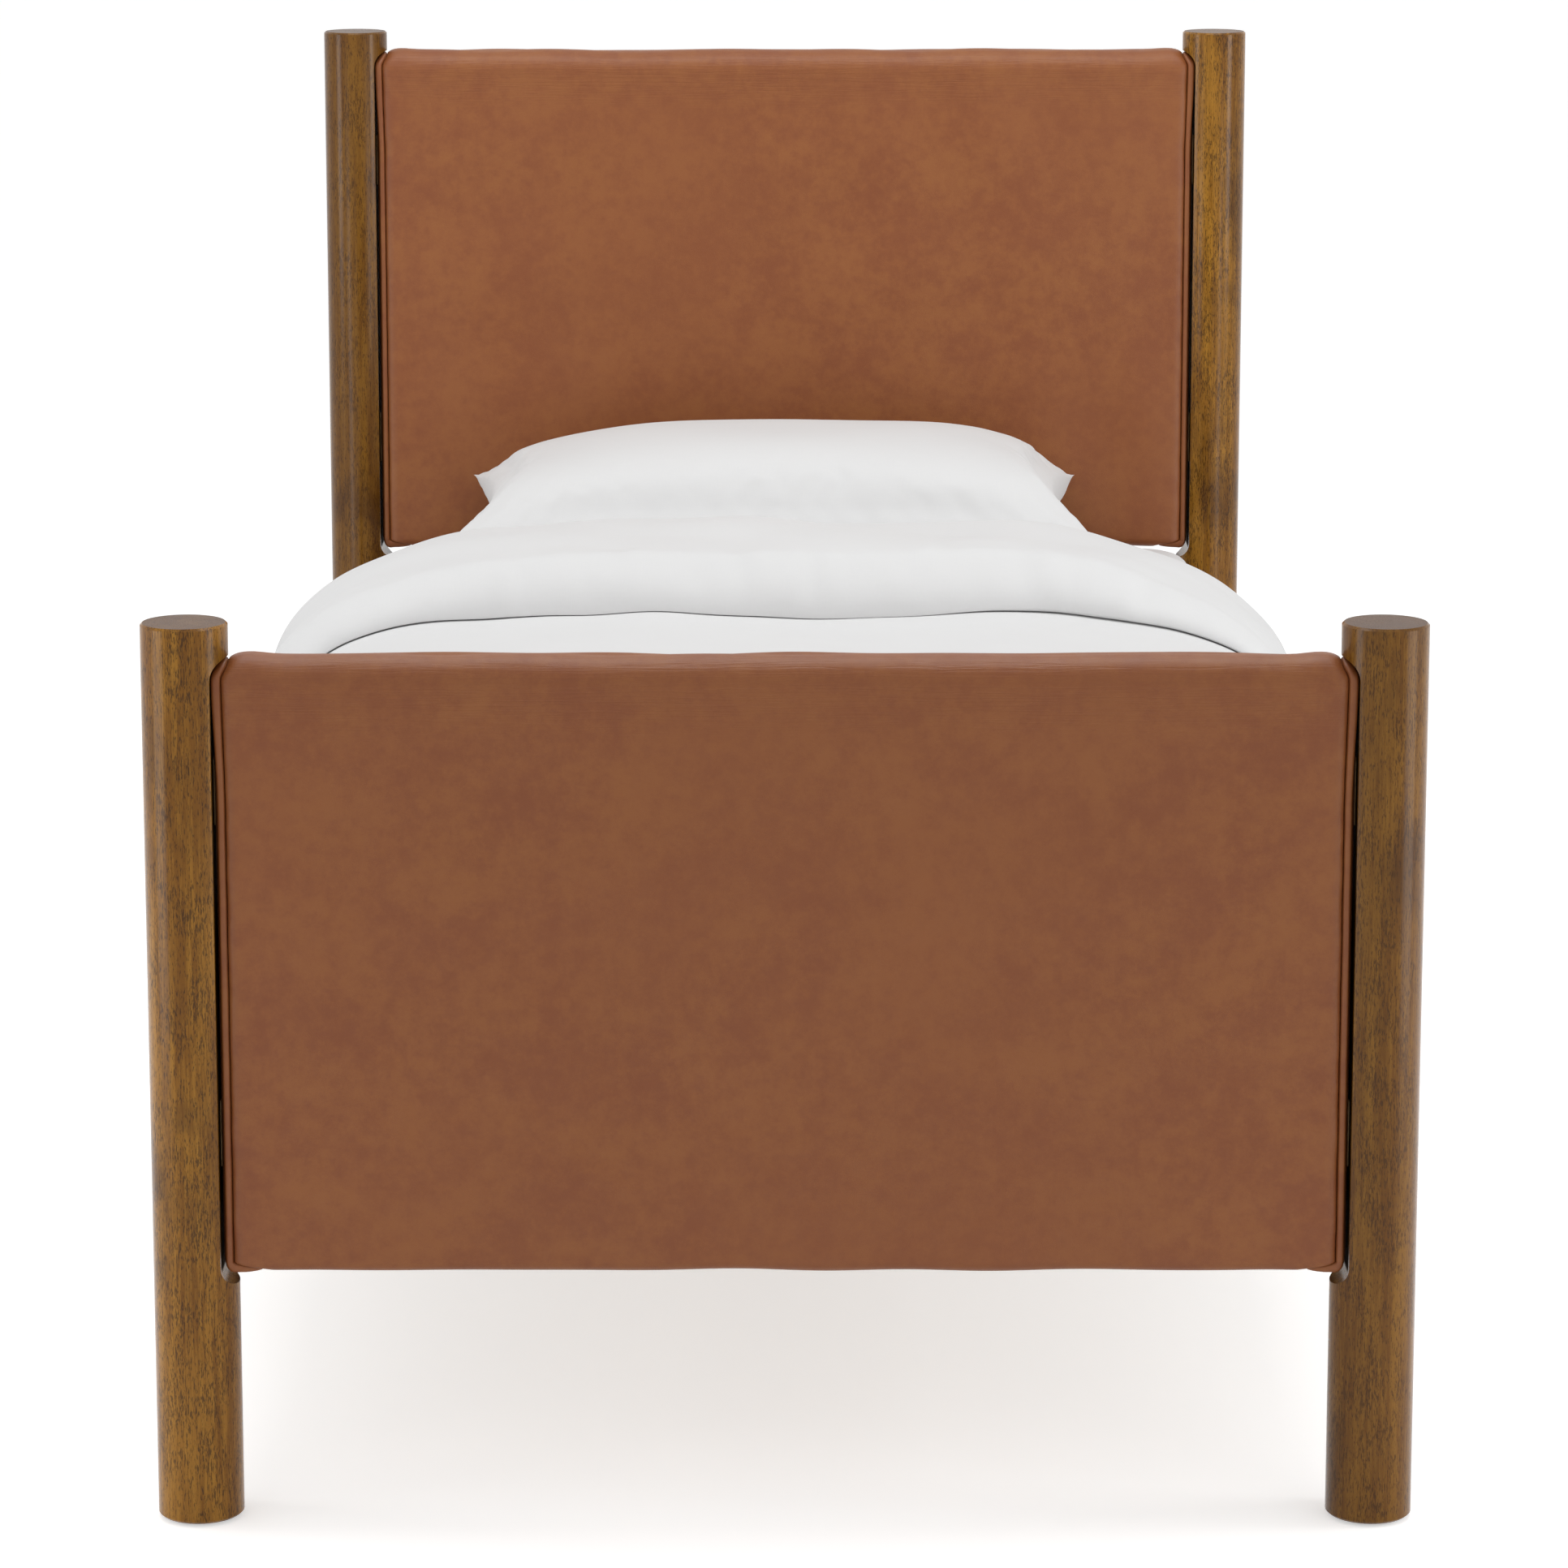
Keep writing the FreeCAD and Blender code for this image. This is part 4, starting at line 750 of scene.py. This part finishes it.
def duvet_layers(sizes):
    """Both faces of the duvet, as two grids that meet at the rim.

    In a lengthwise plane the sheet runs from the foot to the turn, turns up and back over itself
    on an ellipse and ends at the band's front edge. The band lies on the lower layer and rolls
    under at its front. That plane's height is laid off along the normal of the lower layer's
    middle surface. The bare upper face starts lower by what its filling will raise it.
    """
    reach = half_section(np.zeros(1))[1]
    half = np.append(np.linspace(0.0, reach - 0.043, 58), reach - eased(0.034, 7)[::-1]) / reach
    across = np.append(-half[:0:-1], half)[None, :]
    girth = np.abs(across) * reach
    place = across * reach

    front = (sizes.band_front + 0.0035 * wander(across, 0.0 * across, 0.42, 29)
             - 0.010 * smooth(girth, 0.36, 0.56))
    turn = sizes.duvet_turn + 0.003 * wander(across, 0.0 * across, 0.9, 13)
    foot_steps = sizes.duvet_foot + eased(0.045, 7)[:, None] + 0.0 * across
    flat_share = np.linspace(0.0, 1.0, 93)[1:, None]
    flat = foot_steps[-1:] + flat_share * (turn - foot_steps[-1:])
    bend = np.linspace(0.0, np.pi, 18)[1:-1, None]
    slack = np.sin(np.linspace(0.0, np.pi / 2, 38))[:, None]
    rows_flat = len(foot_steps) + len(flat)
    y = np.concatenate([foot_steps, flat, turn + 0.0 * bend, turn + slack * (front - turn)])
    angle = np.concatenate([np.zeros((rows_flat, 1)), bend, np.full((len(slack), 1), np.pi)])
    on_band = (1.0 - np.cos(angle)) / 2
    from_front = np.where(on_band < 1.0, 1.0, y - front)
    from_foot = np.where(on_band > 0.0, 1.0, y - sizes.duvet_foot)

    low = np.interp(girth, (0.0, 0.30, 0.42, 0.50, 0.60, 0.70),
                    (0.0235, 0.0235, 0.0185, 0.0115, 0.0125, 0.0125))
    full = np.interp(girth, (0.0, 0.24, 0.34, 0.44, 0.52, 0.64),
                     (0.0560, 0.0550, 0.0485, 0.0365, 0.0270, 0.0220))
    full = full - 0.010 * smooth(place, 0.20, 0.42)
    gather = wander(place + 0.0 * y, y * 0.20, 0.040, 19) * np.exp(-from_front / 0.040)
    full = (full + 0.0020 * wander(place + 0.0 * y, y, 0.19, 17)) * (1.0 + 0.06 * gather)
    nose = (0.008 + 0.12 * smooth(place, 0.16, 0.36) + 0.06 * smooth(-place, 0.22, 0.42)
            + 0.010 * wander(across, 0.0 * across, 0.35, 37))
    nose, rest = np.clip(nose, 0.0, 0.40), 0.0004
    seat = 2.0 * low + rest
    under = seat + nose * full * (1.0 - rim_round(from_front, 0.013))
    over = seat + full * (nose + (1.0 - nose) * rim_round(from_front, 0.050))
    band_level, band_thick = (over + under) / 2, (over - under) / 2
    level = low + (band_level - low) * on_band
    thick = low + (band_thick - low) * on_band
    thick = thick * rim_round(from_foot, 0.030) * rim_round(reach - girth, 0.018)
    rim = (smooth(reach - girth, 0.0, 0.06) * smooth(from_foot, 0.0, 0.06)
           * smooth(from_front, 0.0, 0.05))
    bare = 1.0 - smooth(y, sizes.band_front - 0.06, sizes.band_front - 0.02)
    free = np.stack([rim * on_band, rim * bare * (on_band == 0.0)])
    bow, swell = 0.030, (0.0, 0.008)
    faces = []
    for side, share, raised in zip((-1.0, 1.0), free, swell):
        along = y + (bow - side * thick) * np.sin(angle)
        height = level + side * thick * np.cos(angle) - low - raised * share
        spread = across + 0.0 * along
        step = 0.002
        ahead = duvet_ground(spread, along + step) - duvet_ground(spread, along - step)
        aside = duvet_ground(spread + step, along) - duvet_ground(spread - step, along)
        normal = np.cross(aside, ahead)
        normal = normal / np.linalg.norm(normal, axis=-1, keepdims=True)
        faces.append(duvet_ground(spread, along) + normal * height[..., None])
    return faces, free


class BED_OT_duvet(bpy.types.Operator):
    """Make the duvet with its turned-back band"""

    bl_idname = "bed.duvet"
    bl_label = "Duvet"

    def execute(self, context):
        layers, free = duvet_layers(context.scene.bed_linen_sizes)
        piece = sewn_cover("duvet_cover", layers, free, "duvet", pressure=1.2, growth=0.035,
                           bending=0.9, cap=0.009)
        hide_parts("duvet")
        return {"FINISHED"}


# Pillow

def pillow_layers(width, depth, crown, drop):
    """Two sheets sewn round their edge: z = H (1 - |w|^a)^b (1 - |v|^c)^d over a rectangle whose
    sides are pulled in between its corners, with small gathers that fade away from the seam. The
    filling lies to one side, so w = u - s (1 - u^2), and the corners stay thin."""
    u, v = np.meshgrid(np.linspace(-1.0, 1.0, 121), np.linspace(-1.0, 1.0, 77), indexing="ij")
    u, v = np.sin(u * 1.35) / math.sin(1.35), np.sin(v * 1.35) / math.sin(1.35)
    x = width / 2 * u * (1.0 - 0.093 * (1.0 - v ** 2))
    y = depth / 2 * v * (1.0 - 0.107 * (1.0 - u ** 2))
    ear = smooth(np.abs(u * v), 0.84, 0.96)
    lean = u - 0.104 * (1.0 - u ** 2)
    swell = (1.0 - np.abs(lean) ** 3.4) ** 0.50 * (1.0 - np.abs(v) ** 3.2) ** 0.85
    swell = swell * (1.0 - 0.6 * ear)
    seam = np.minimum((1.0 - np.abs(u)) * width, (1.0 - np.abs(v)) * depth) / 2
    gathers = wander(x, y, 0.034, 51) * np.exp(-seam / 0.030) * (1.0 - np.exp(-seam / 0.006))
    soft = 0.0015 * gathers + 0.0008 * wander(x, y, 0.22, 53) * swell
    lift = 0.001 * ear
    free = (1.0 - smooth(np.abs(u * v), 0.50, 0.80)) * smooth(seam, 0.0, 0.02)
    return (np.stack([x, y, lift + crown * swell + soft], axis=-1),
            np.stack([x, y, lift - drop * swell - soft], axis=-1)), np.stack([free, free])


def laid_pillow(points, sizes):
    """Lay the filled cover in its place, with its underside pressed flat on the mattress.

    A depth d below the seam becomes r (1 - exp(-k d / r)), r being the room above the mattress.
    """
    low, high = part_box("pillow")
    gap, room, aside, forward = 0.0012, 0.078, 0.013, 0.016
    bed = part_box("mattress")[1][2] + gap
    centre = np.array([(low[0] + high[0]) / 2 - aside, (low[1] + high[1]) / 2 - forward,
                       bed + room])
    extent = points.max(axis=0) - points.min(axis=0)
    scale = np.array([sizes.pillow_width / extent[0], sizes.pillow_depth / extent[1],
                      sizes.pillow_crown / points[:, 2].max()])
    laid = points * scale + centre
    depth = np.maximum(centre[2] - laid[:, 2], 0.0)
    laid[:, 2] = np.where(depth > 0.0, centre[2] - room * (1.0 - np.exp(-2.2 * depth / room)),
                          laid[:, 2])
    return laid


class BED_OT_pillow(bpy.types.Operator):
    """Make the pillow and lay it on the mattress"""

    bl_idname = "bed.pillow"
    bl_label = "Pillow"

    def execute(self, context):
        sizes = context.scene.bed_linen_sizes
        layers, free = pillow_layers(sizes.pillow_width, sizes.pillow_depth, sizes.pillow_crown,
                                     drop=0.085)
        piece = sewn_cover("pillow_case", layers, free, "pillow", pressure=4.0, growth=0.01,
                           bending=0.35, cap=0.010)
        set_points(piece.data, laid_pillow(mesh_points(piece.data), sizes))
        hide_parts("pillow")
        return {"FINISHED"}


# Fasteners

def revolved_heads(profile, turns, places, ways):
    """Small round heads: a profile (radius, height) turned about each level way, at each place."""
    first = np.cross(ways, [0.0, 0.0, 1.0])
    second = np.cross(ways, first)
    angle = np.linspace(0.0, 2.0 * np.pi, turns, endpoint=False)
    ring = (np.cos(angle)[:, None] * first[:, None, None, :]
            + np.sin(angle)[:, None] * second[:, None, None, :])
    radius, height = profile.T[:, :, None, None]
    return wrapped(places[:, None, None, :] + radius * ring + height * ways[:, None, None, :])


def with_mirror(vectors):
    """Vectors and after them their mirror images across the middle of the bed."""
    return np.concatenate([vectors, vectors * [-1.0, 1.0, 1.0]])


def screw_places():
    """Where the screws sit and which way they face, on the ledges, the cleat and the hangers."""
    ledge_low, ledge_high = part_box("slat_ledge_right")
    cleat_low, cleat_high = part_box("foot_cleat")
    margin, count = 0.06, 9
    level = (ledge_low[2] + ledge_high[2]) / 2 - 0.004
    spots = [(ledge_low[0], y, level, -1.0, 0.0, 0.0)
             for y in np.linspace(ledge_low[1] + margin, ledge_high[1] - margin, count)]
    level = (cleat_low[2] + cleat_high[2]) / 2
    spots += [(x, cleat_high[1], level, 0.0, 1.0, 0.0) for x in (0.12, 0.25, 0.38)]
    plate, rail = 0.002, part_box("centre_rail")[1][0]
    for node, way in (("centre_hanger_head", -1.0), ("centre_hanger_foot", 1.0)):
        low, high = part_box(node)
        face = (high[1] - plate) if way < 0 else (low[1] + plate)
        flange = (rail + plate + high[0]) / 2
        spots += [(flange, face, z, 0.0, way, 0.0) for z in (low[2] + 0.013, high[2] - 0.010)]
        spots.append((rail + plate, (low[1] + high[1]) / 2, (low[2] + high[2]) / 2, 1.0, 0.0, 0.0))
    places, ways = np.split(np.array(spots), 2, axis=1)
    return with_mirror(places), with_mirror(ways)


def staple_points():
    """Wire staples that hold each slat to its straps: rounded bars, by a superellipsoid grid."""
    strap_low, strap_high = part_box("slat_strap_right")
    slats = sorted(node for node in frame["nodes"] if node.removeprefix("slat_").isdigit())
    middles = np.array([np.add(*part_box(node))[1] / 2 for node in slats])
    apart, margin = 0.014, 0.004
    half_length, half_width, half_height = 0.0055, 0.0006, 0.0005
    x = (strap_low[0] + strap_high[0]) / 2
    y = np.concatenate([middles - apart, middles + apart])
    inside = (y > strap_low[1] + margin) & (y < strap_high[1] - margin)
    places = np.column_stack([np.full(y.size, x), y, np.full(y.size, strap_low[2])])[inside]
    tip = np.linspace(-np.pi / 2, np.pi / 2, 7)[:, None]
    turn = np.linspace(0.0, 2.0 * np.pi, 8, endpoint=False)[None, :]
    bar = np.stack([half_length * np.sign(np.sin(tip)) * np.abs(np.sin(tip)) ** 0.5 + 0.0 * turn,
                    half_width * np.cos(tip) ** 0.4 * np.cos(turn),
                    half_height * np.cos(tip) ** 0.4 * np.sin(turn)], axis=-1)
    return wrapped(with_mirror(places)[:, None, None, :] + bar)


class BED_OT_fasteners(bpy.types.Operator):
    """Make the screws of the frame and the staples of the slat straps"""

    bl_idname = "bed.fasteners"
    bl_label = "Screws and staples"

    def execute(self, context):
        steel = bpy.data.materials["zinc_plate"]
        head = np.array([(0.0, 0.0006), (0.0013, 0.0006), (0.0016, 0.0017), (0.0032, 0.0014),
                         (0.0040, 0.0002), (0.0040, -0.0003), (0.0, -0.0003)])
        turns = 10
        screws = revolved_heads(head, turns, *screw_places())
        new_piece("screws", *screws, steel, "frame", "zinc_steel")
        new_piece("staples", *staple_points(), steel, "frame", "zinc_steel")
        return {"FINISHED"}


# Frame finishes

class BED_OT_finishes(bpy.types.Operator):
    """Make the finishes and give each CAD node its own"""

    bl_idname = "bed.finishes"
    bl_label = "Frame finishes"

    def execute(self, context):
        tones = context.scene.bed_colours
        wood = {axis: wood_finish(f"stained_wood_{axis}", axis, tones) for axis in "xyz"}
        pine = {axis: pine_finish(f"pine_{axis}", axis, tones) for axis in "xyz"}
        by_slot = {
            "brown_leather": leather_finish(tones), "foam": foam_finish(),
            "plywood": ply_finish(), "webbing": webbing_finish(), "zinc_steel": steel_finish(),
            "black_nylon": nylon_finish(), "hardwood_tenon": pine["x"],
            "mattress_ticking": linen_finish("fitted_sheet", tones, 0.98),
            "white_cotton": linen_finish("cotton_percale", tones, 1.0),
        }
        for part in frame["record"]["subparts"]:
            node, slot = part["node"], part["material_slot"]
            if slot in ("walnut", "pine"):
                axis = "xyz"[np.argmax(np.subtract(*reversed(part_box(node))))]
                finish = (wood if slot == "walnut" else pine)[axis]
            else:
                finish = by_slot[slot]
            item = frame["nodes"][node]
            if not item.material_slots:
                item.data.materials.append(None)
            for place in item.material_slots:
                place.material = finish
        return {"FINISHED"}


# Stage

def ray_share(tree):
    """1 for rays that should see the bright surroundings, 0 for light that falls on the bed."""
    start = Wire(tree)
    seen, glossy, through = (start.node("LightPath", out=f"Is {kind} Ray")
                             for kind in ("Camera", "Glossy", "Transmission"))
    return start.math("MAXIMUM", start.math("MAXIMUM", seen, glossy), through)


def area_light(name, place, aim, size, power):
    """A soft light with a width and a height, at a place and aimed at a point."""
    lamp = bpy.data.lights.new(name, "AREA")
    lamp.shape = "RECTANGLE"
    lamp.size, lamp.size_y = size
    lamp.energy = power
    holder = bpy.data.objects.new(name, lamp)
    holder.visible_camera = False
    bpy.context.scene.collection.objects.link(holder)
    holder.location = place
    way = np.subtract(aim, place)
    flat = math.hypot(*way[:2])
    holder.rotation_euler = (math.atan2(flat, -way[2]), 0.0, math.atan2(-way[0], way[1]))


# Name, place, aim, width and height, power in watts
LIGHTS = (
    ("key_softbox", (-2.4, -4.6, 3.2), (0.0, -0.8, 0.5), (2.4, 2.4), 12.0),
    ("fill_softbox", (3.0, -4.4, 2.4), (0.0, -0.4, 0.5), (2.0, 2.4), 13.5),
    ("top_softbox", (0.0, -0.1, 3.5), (0.0, 0.1, 0.6), (2.8, 1.8), 53.0),
    ("left_softbox", (-3.3, -0.6, 1.1), (-0.5, -0.6, 0.6), (1.0, 1.3), 19.0),
    ("right_softbox", (3.2, -0.9, 1.15), (0.5, -0.6, 0.6), (1.0, 1.3), 25.0),
    ("left_strip", (-2.1, -1.6, 0.36), (-0.5, -1.0, 0.36), (0.9, 0.7), 5.5),
    ("right_strip", (2.1, -1.6, 0.36), (0.5, -1.0, 0.36), (0.9, 0.7), 5.5),
)
ROOM_LIGHT = 0.54  # strength of the surroundings, as light on the bed
ROOM_SEEN = 1.0  # and as the camera and reflections see them
FLOOR_GLOW = 0.50  # what the floor gives off besides, to the camera and in reflections
FLOOR_REACH = 40.0  # to each side
LENS, LENS_SHIFT = 124.886, (-0.0005, -0.09)
CAMERA_PLACE, CAMERA_PITCH = (0.0, -5.6185, 1.6638), 10.690


class BED_OT_stage(bpy.types.Operator):
    """Set up the pale floor, the soft lights and the camera"""

    bl_idname = "bed.stage"
    bl_label = "Stage"

    def execute(self, context):
        scene = context.scene
        scene.view_settings.view_transform = "Standard"
        world = bpy.data.worlds.new("pale_room")
        world.use_nodes = True
        scene.world = world
        strength = ray_share(world.node_tree) * (ROOM_SEEN - ROOM_LIGHT) + ROOM_LIGHT
        plug(world.node_tree.nodes["Background"],
             {"Color": (1.0, 1.0, 1.0, 1.0), "Strength": strength})

        corners = [(FLOOR_REACH * x, FLOOR_REACH * y, 0.0)
                   for x, y in ((-1, -1), (1, -1), (1, 1), (-1, 1))]
        mesh = bpy.data.meshes.new("floor")
        mesh.from_pydata(corners, [], [(0, 1, 2, 3)])
        floor = bpy.data.objects.new("floor", mesh)
        scene.collection.objects.link(floor)
        finish, _, shader = new_finish("pale_floor")
        feed(shader, Base_Color=(*scene.bed_colours.floor, 1.0), Roughness=0.8,
             Specular_IOR_Level=0.1)
        tree = finish.node_tree
        sees = ray_share(tree)
        glow = sees.node("Emission", None, {"Strength": sees * FLOOR_GLOW})
        total = glow.node("AddShader", None, {0: Wire(tree, shader.outputs[0]), 1: glow})
        plug(tree.nodes["Material Output"], {"Surface": total})
        mesh.materials.append(finish)

        for light in LIGHTS:
            area_light(*light)

        lens = bpy.data.cameras.new("camera")
        lens.sensor_width, lens.lens = 36.0, LENS
        lens.shift_x, lens.shift_y = LENS_SHIFT
        lens.clip_end = 200.0
        camera = bpy.data.objects.new("camera", lens)
        scene.collection.objects.link(camera)
        camera.location = CAMERA_PLACE
        camera.rotation_euler = (math.radians(90.0 - CAMERA_PITCH), 0.0, 0.0)
        scene.camera = camera
        return {"FINISHED"}


# Sidebar

GROUPS = {"bed_panel_sizes": BedPanelSizes, "bed_linen_sizes": BedLinenSizes,
          "bed_colours": BedColours}
STEPS = (BED_OT_finishes, BED_OT_panels, BED_OT_mattress, BED_OT_duvet, BED_OT_pillow,
         BED_OT_fasteners, BED_OT_stage)


class BED_PT_sidebar(bpy.types.Panel):
    """Lists the steps that dress the bed"""

    bl_idname = "BED_PT_sidebar"
    bl_label = "Platform bed"
    bl_space_type = "VIEW_3D"
    bl_region_type = "UI"
    bl_category = "Bed"

    def draw(self, context):
        for step in STEPS:
            self.layout.operator(step.bl_idname)
        for kind in GROUPS:
            group = getattr(context.scene, kind)
            column = self.layout.column()
            for name in group.bl_rna.properties.keys():
                if name not in ("rna_type", "name"):
                    column.prop(group, name)


def register():
    for group in (*GROUPS.values(), *STEPS, BED_PT_sidebar):
        bpy.utils.register_class(group)
    for name, group in GROUPS.items():
        setattr(bpy.types.Scene, name, PointerProperty(type=group))


def unregister():
    for name in GROUPS:
        delattr(bpy.types.Scene, name)
    for group in (BED_PT_sidebar, *reversed(STEPS), *reversed(GROUPS.values())):
        bpy.utils.unregister_class(group)


def main():
    """Run every step in order."""
    register()
    for step in STEPS:
        group, name = step.bl_idname.split(".")
        getattr(getattr(bpy.ops, group), name)()


if __name__ == "__main__":
    main()
